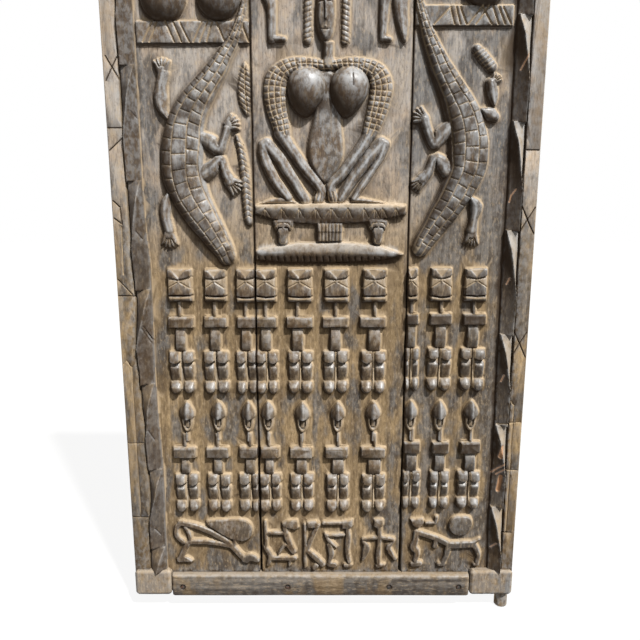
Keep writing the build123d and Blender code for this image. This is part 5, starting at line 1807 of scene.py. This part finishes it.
class GRANARY_OT_nails(bpy.types.Operator):
    """Forged nails, each with a hammered head."""

    bl_idname = "granary.nails"
    bl_label = "Nails"

    def execute(self, context):
        door = context.scene.granary_door
        material = forged_iron("old_iron", door.iron)
        for node in sorted(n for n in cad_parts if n.endswith("_nails")):
            low, high = box_mm(node)
            outward = -1 if "rail" in node else 1
            nails = []
            for index, (x, z) in enumerate(middles_of(node)):
                nails.append(self.nail(x, z, low[1], high[1], outward, index + len(node)))
            only(*nails)
            bpy.ops.object.join()
            piece = bpy.context.object
            piece.name = node + "_forged"
            bpy.ops.object.shade_smooth_by_angle(angle=math.radians(35))
            finish_piece(piece, material, "forged_iron", node)
        return {"FINISHED"}

    def nail(self, x, z, y_low, y_high, outward, seed):
        """One nail at x, z: a crowned head and a tapered shank, made upright and then laid along y."""
        rng = np.random.default_rng(seed)
        head_y = y_low if outward < 0 else y_high
        bpy.ops.object.select_all(action="DESELECT")
        middle = (0, 0, NAIL_THICK / 2 * MM)
        bpy.ops.mesh.primitive_cylinder_add(
            vertices=14, radius=NAIL_RADIUS * MM, depth=NAIL_THICK * MM, location=middle
        )
        piece = bpy.context.object
        bpy.ops.object.transform_apply(location=True, rotation=True, scale=True)
        self.select_end(piece, 1)
        bpy.ops.mesh.select_mode(type="FACE")
        bpy.ops.mesh.inset(thickness=1.5 * MM)
        bpy.ops.transform.translate(value=(0, 0, NAIL_CROWN * MM))
        end_edit()
        self.select_end(piece, -1)
        bpy.ops.mesh.inset(thickness=(NAIL_RADIUS - SHANK_RADIUS) * MM)
        shank = (0, 0, -(y_high - y_low - NAIL_TOP) * MM)
        bpy.ops.mesh.extrude_region_move(TRANSFORM_OT_translate={"value": shank})
        bpy.ops.transform.resize(value=(SHANK_TAPER, SHANK_TAPER, 1), center_override=(0, 0, 0))
        end_edit()
        co = places_of(piece) / MM
        turn = np.arctan2(co[:, 1], co[:, 0])
        out = 1 - 0.12 * np.abs(np.sin(turn * 2 + rng.uniform(0, 3))) * (co[:, 2] > -0.5)
        along = head_y - outward * (NAIL_TOP - co[:, 2])
        set_places(piece, np.stack([x + co[:, 0] * out, along, z - outward * co[:, 1] * out], 1))
        only(piece)
        edit("SELECT")
        bpy.ops.mesh.normals_make_consistent(inside=False)
        end_edit()
        return piece

    def select_end(self, piece, way):
        """Edit mode, with only the faces selected that look up for way 1 or down for way -1."""
        edit("DESELECT")
        end_edit()
        for polygon in piece.data.polygons:
            polygon.select = way * polygon.normal.z > 0.9
        bpy.ops.object.mode_set(mode="EDIT")


# ---- Stage ----
CAMERA_PLACE = (LEAF_X - 10, FIELD_Y - EYE_OUT, EYE_H + CARVING_DATUM)
CAMERA_PITCH = 11.034
CAMERA_LENS = 33.75
KEY_FROM = (0.65, -1.0, 1.45)
KEY_STRENGTH = 6.0
BACK_FROM = (-0.6, 1.0, 0.75)
BACK_STRENGTH = 2.4
LAMP_SPREAD = 3  # of both lamps, in degrees
FLOOR_SIZE = 30
FLOOR_DROP = 0.002  # of the floor under the leaf
FLOOR_GLOW = 0.86
FILL_STRENGTH = 0.20


class GRANARY_OT_stage(bpy.types.Operator):
    """Pale floor, white surroundings, a key lamp from the upper right, a back lamp and the camera."""

    bl_idname = "granary.stage"
    bl_label = "Stage"

    def execute(self, context):
        scene = context.scene
        bpy.ops.object.select_all(action="DESELECT")
        bpy.ops.mesh.primitive_plane_add(size=FLOOR_SIZE, location=(LEAF_X * MM, 0, CAD_LOW.z - FLOOR_DROP))
        floor = context.object
        floor.name = "floor"
        floor.data.materials.append(self.floor_material())
        self.sun("key", KEY_FROM, KEY_STRENGTH)
        self.sun("back_lamp", BACK_FROM, BACK_STRENGTH)
        self.surroundings(scene)
        camera_data = bpy.data.cameras.new("camera")
        camera_data.lens = CAMERA_LENS
        camera = bpy.data.objects.new("camera", camera_data)
        scene.collection.objects.link(camera)
        camera.location = [value * MM for value in CAMERA_PLACE]
        camera.rotation_euler = (math.radians(90 - CAMERA_PITCH), 0, 0)
        scene.camera = camera
        scene.view_settings.view_transform = "Standard"
        return {"FINISHED"}

    def sun(self, name, direction, strength):
        """Lamp that shines from direction."""
        data = bpy.data.lights.new(name, "SUN")
        data.energy = strength
        data.angle = math.radians(LAMP_SPREAD)
        data.color = (1.0, 0.985, 0.96)
        lamp = bpy.data.objects.new(name, data)
        bpy.context.scene.collection.objects.link(lamp)
        flat = math.hypot(direction[0], direction[1])
        lamp.rotation_euler = (math.atan2(flat, direction[2]), 0, math.atan2(direction[0], -direction[1]))

    def floor_material(self):
        """Pale floor that the camera sees nearly white, with the shadow kept."""
        material, shader, place = new_material("pale_floor")
        tree = place.tree
        seen = Wire(tree, tree.nodes.new("ShaderNodeLightPath").outputs["Is Camera Ray"])
        link(seen.blend((0.30, 0.30, 0.30), (0.72, 0.72, 0.72)), shader, "Base Color")
        shader.inputs["Roughness"].default_value = 0.9
        glow = seen.node("ShaderNodeEmission", Color=(1, 1, 1, 1), Strength=1.0)
        both = tree.nodes.new("ShaderNodeMixShader")
        link(seen * FLOOR_GLOW, both, 0)
        tree.links.new(shader.outputs[0], both.inputs[1])
        tree.links.new(glow.socket, both.inputs[2])
        tree.links.new(both.outputs[0], tree.nodes["Material Output"].inputs[0])
        return material

    def surroundings(self, scene):
        """White world to the camera and in reflections, and a weak warm fill light."""
        world = bpy.data.worlds.new("surroundings")
        scene.world = world
        world.use_nodes = True
        tree = world.node_tree
        fill = tree.nodes["Background"]
        fill.inputs["Color"].default_value = (1.0, 0.96, 0.92, 1)
        fill.inputs["Strength"].default_value = FILL_STRENGTH
        white = tree.nodes.new("ShaderNodeBackground")
        white.inputs["Color"].default_value = (1, 1, 1, 1)
        rays = tree.nodes.new("ShaderNodeLightPath")
        kinds = ("Camera", "Glossy", "Transmission")
        camera, glossy, clear = [Wire(tree, rays.outputs[f"Is {kind} Ray"]) for kind in kinds]
        seen = (camera + glossy + clear).clamped()
        mix = tree.nodes.new("ShaderNodeMixShader")
        tree.links.new(seen.socket, mix.inputs[0])
        tree.links.new(fill.outputs[0], mix.inputs[1])
        tree.links.new(white.outputs[0], mix.inputs[2])
        tree.links.new(mix.outputs[0], tree.nodes["World Output"].inputs[0])


STEPS = (
    GRANARY_OT_plank_left,
    GRANARY_OT_plank_centre,
    GRANARY_OT_plank_right,
    GRANARY_OT_feet,
    GRANARY_OT_pintles,
    GRANARY_OT_rails,
    GRANARY_OT_ledges,
    GRANARY_OT_nails,
    GRANARY_OT_stage,
)


class GRANARY_PT_panel(bpy.types.Panel):
    """Steps of the door's making and what can be set on it."""

    bl_label = "Granary door"
    bl_idname = "GRANARY_PT_panel"
    bl_space_type = "VIEW_3D"
    bl_region_type = "UI"
    bl_category = "Granary door"

    def draw(self, context):
        door = context.scene.granary_door
        for group in (door.sizes, door.wood, door.iron):
            for name in group.bl_rna.properties.keys():
                if name not in ("rna_type", "name"):
                    self.layout.prop(group, name)
        for step in STEPS:
            self.layout.operator(step.bl_idname)


GROUPS = (GRANARY_PG_wood, GRANARY_PG_iron, GRANARY_PG_sizes, GRANARY_PG_door)


def register():
    for cls in GROUPS + STEPS + (GRANARY_PT_panel,):
        bpy.utils.register_class(cls)
    bpy.types.Scene.granary_door = PointerProperty(type=GRANARY_PG_door)


def unregister():
    del bpy.types.Scene.granary_door
    for cls in reversed(GROUPS + STEPS + (GRANARY_PT_panel,)):
        bpy.utils.unregister_class(cls)


def main():
    register()
    for step in STEPS:
        group, name = step.bl_idname.split(".")
        getattr(getattr(bpy.ops, group), name)()


if __name__ == "__main__":
    main()
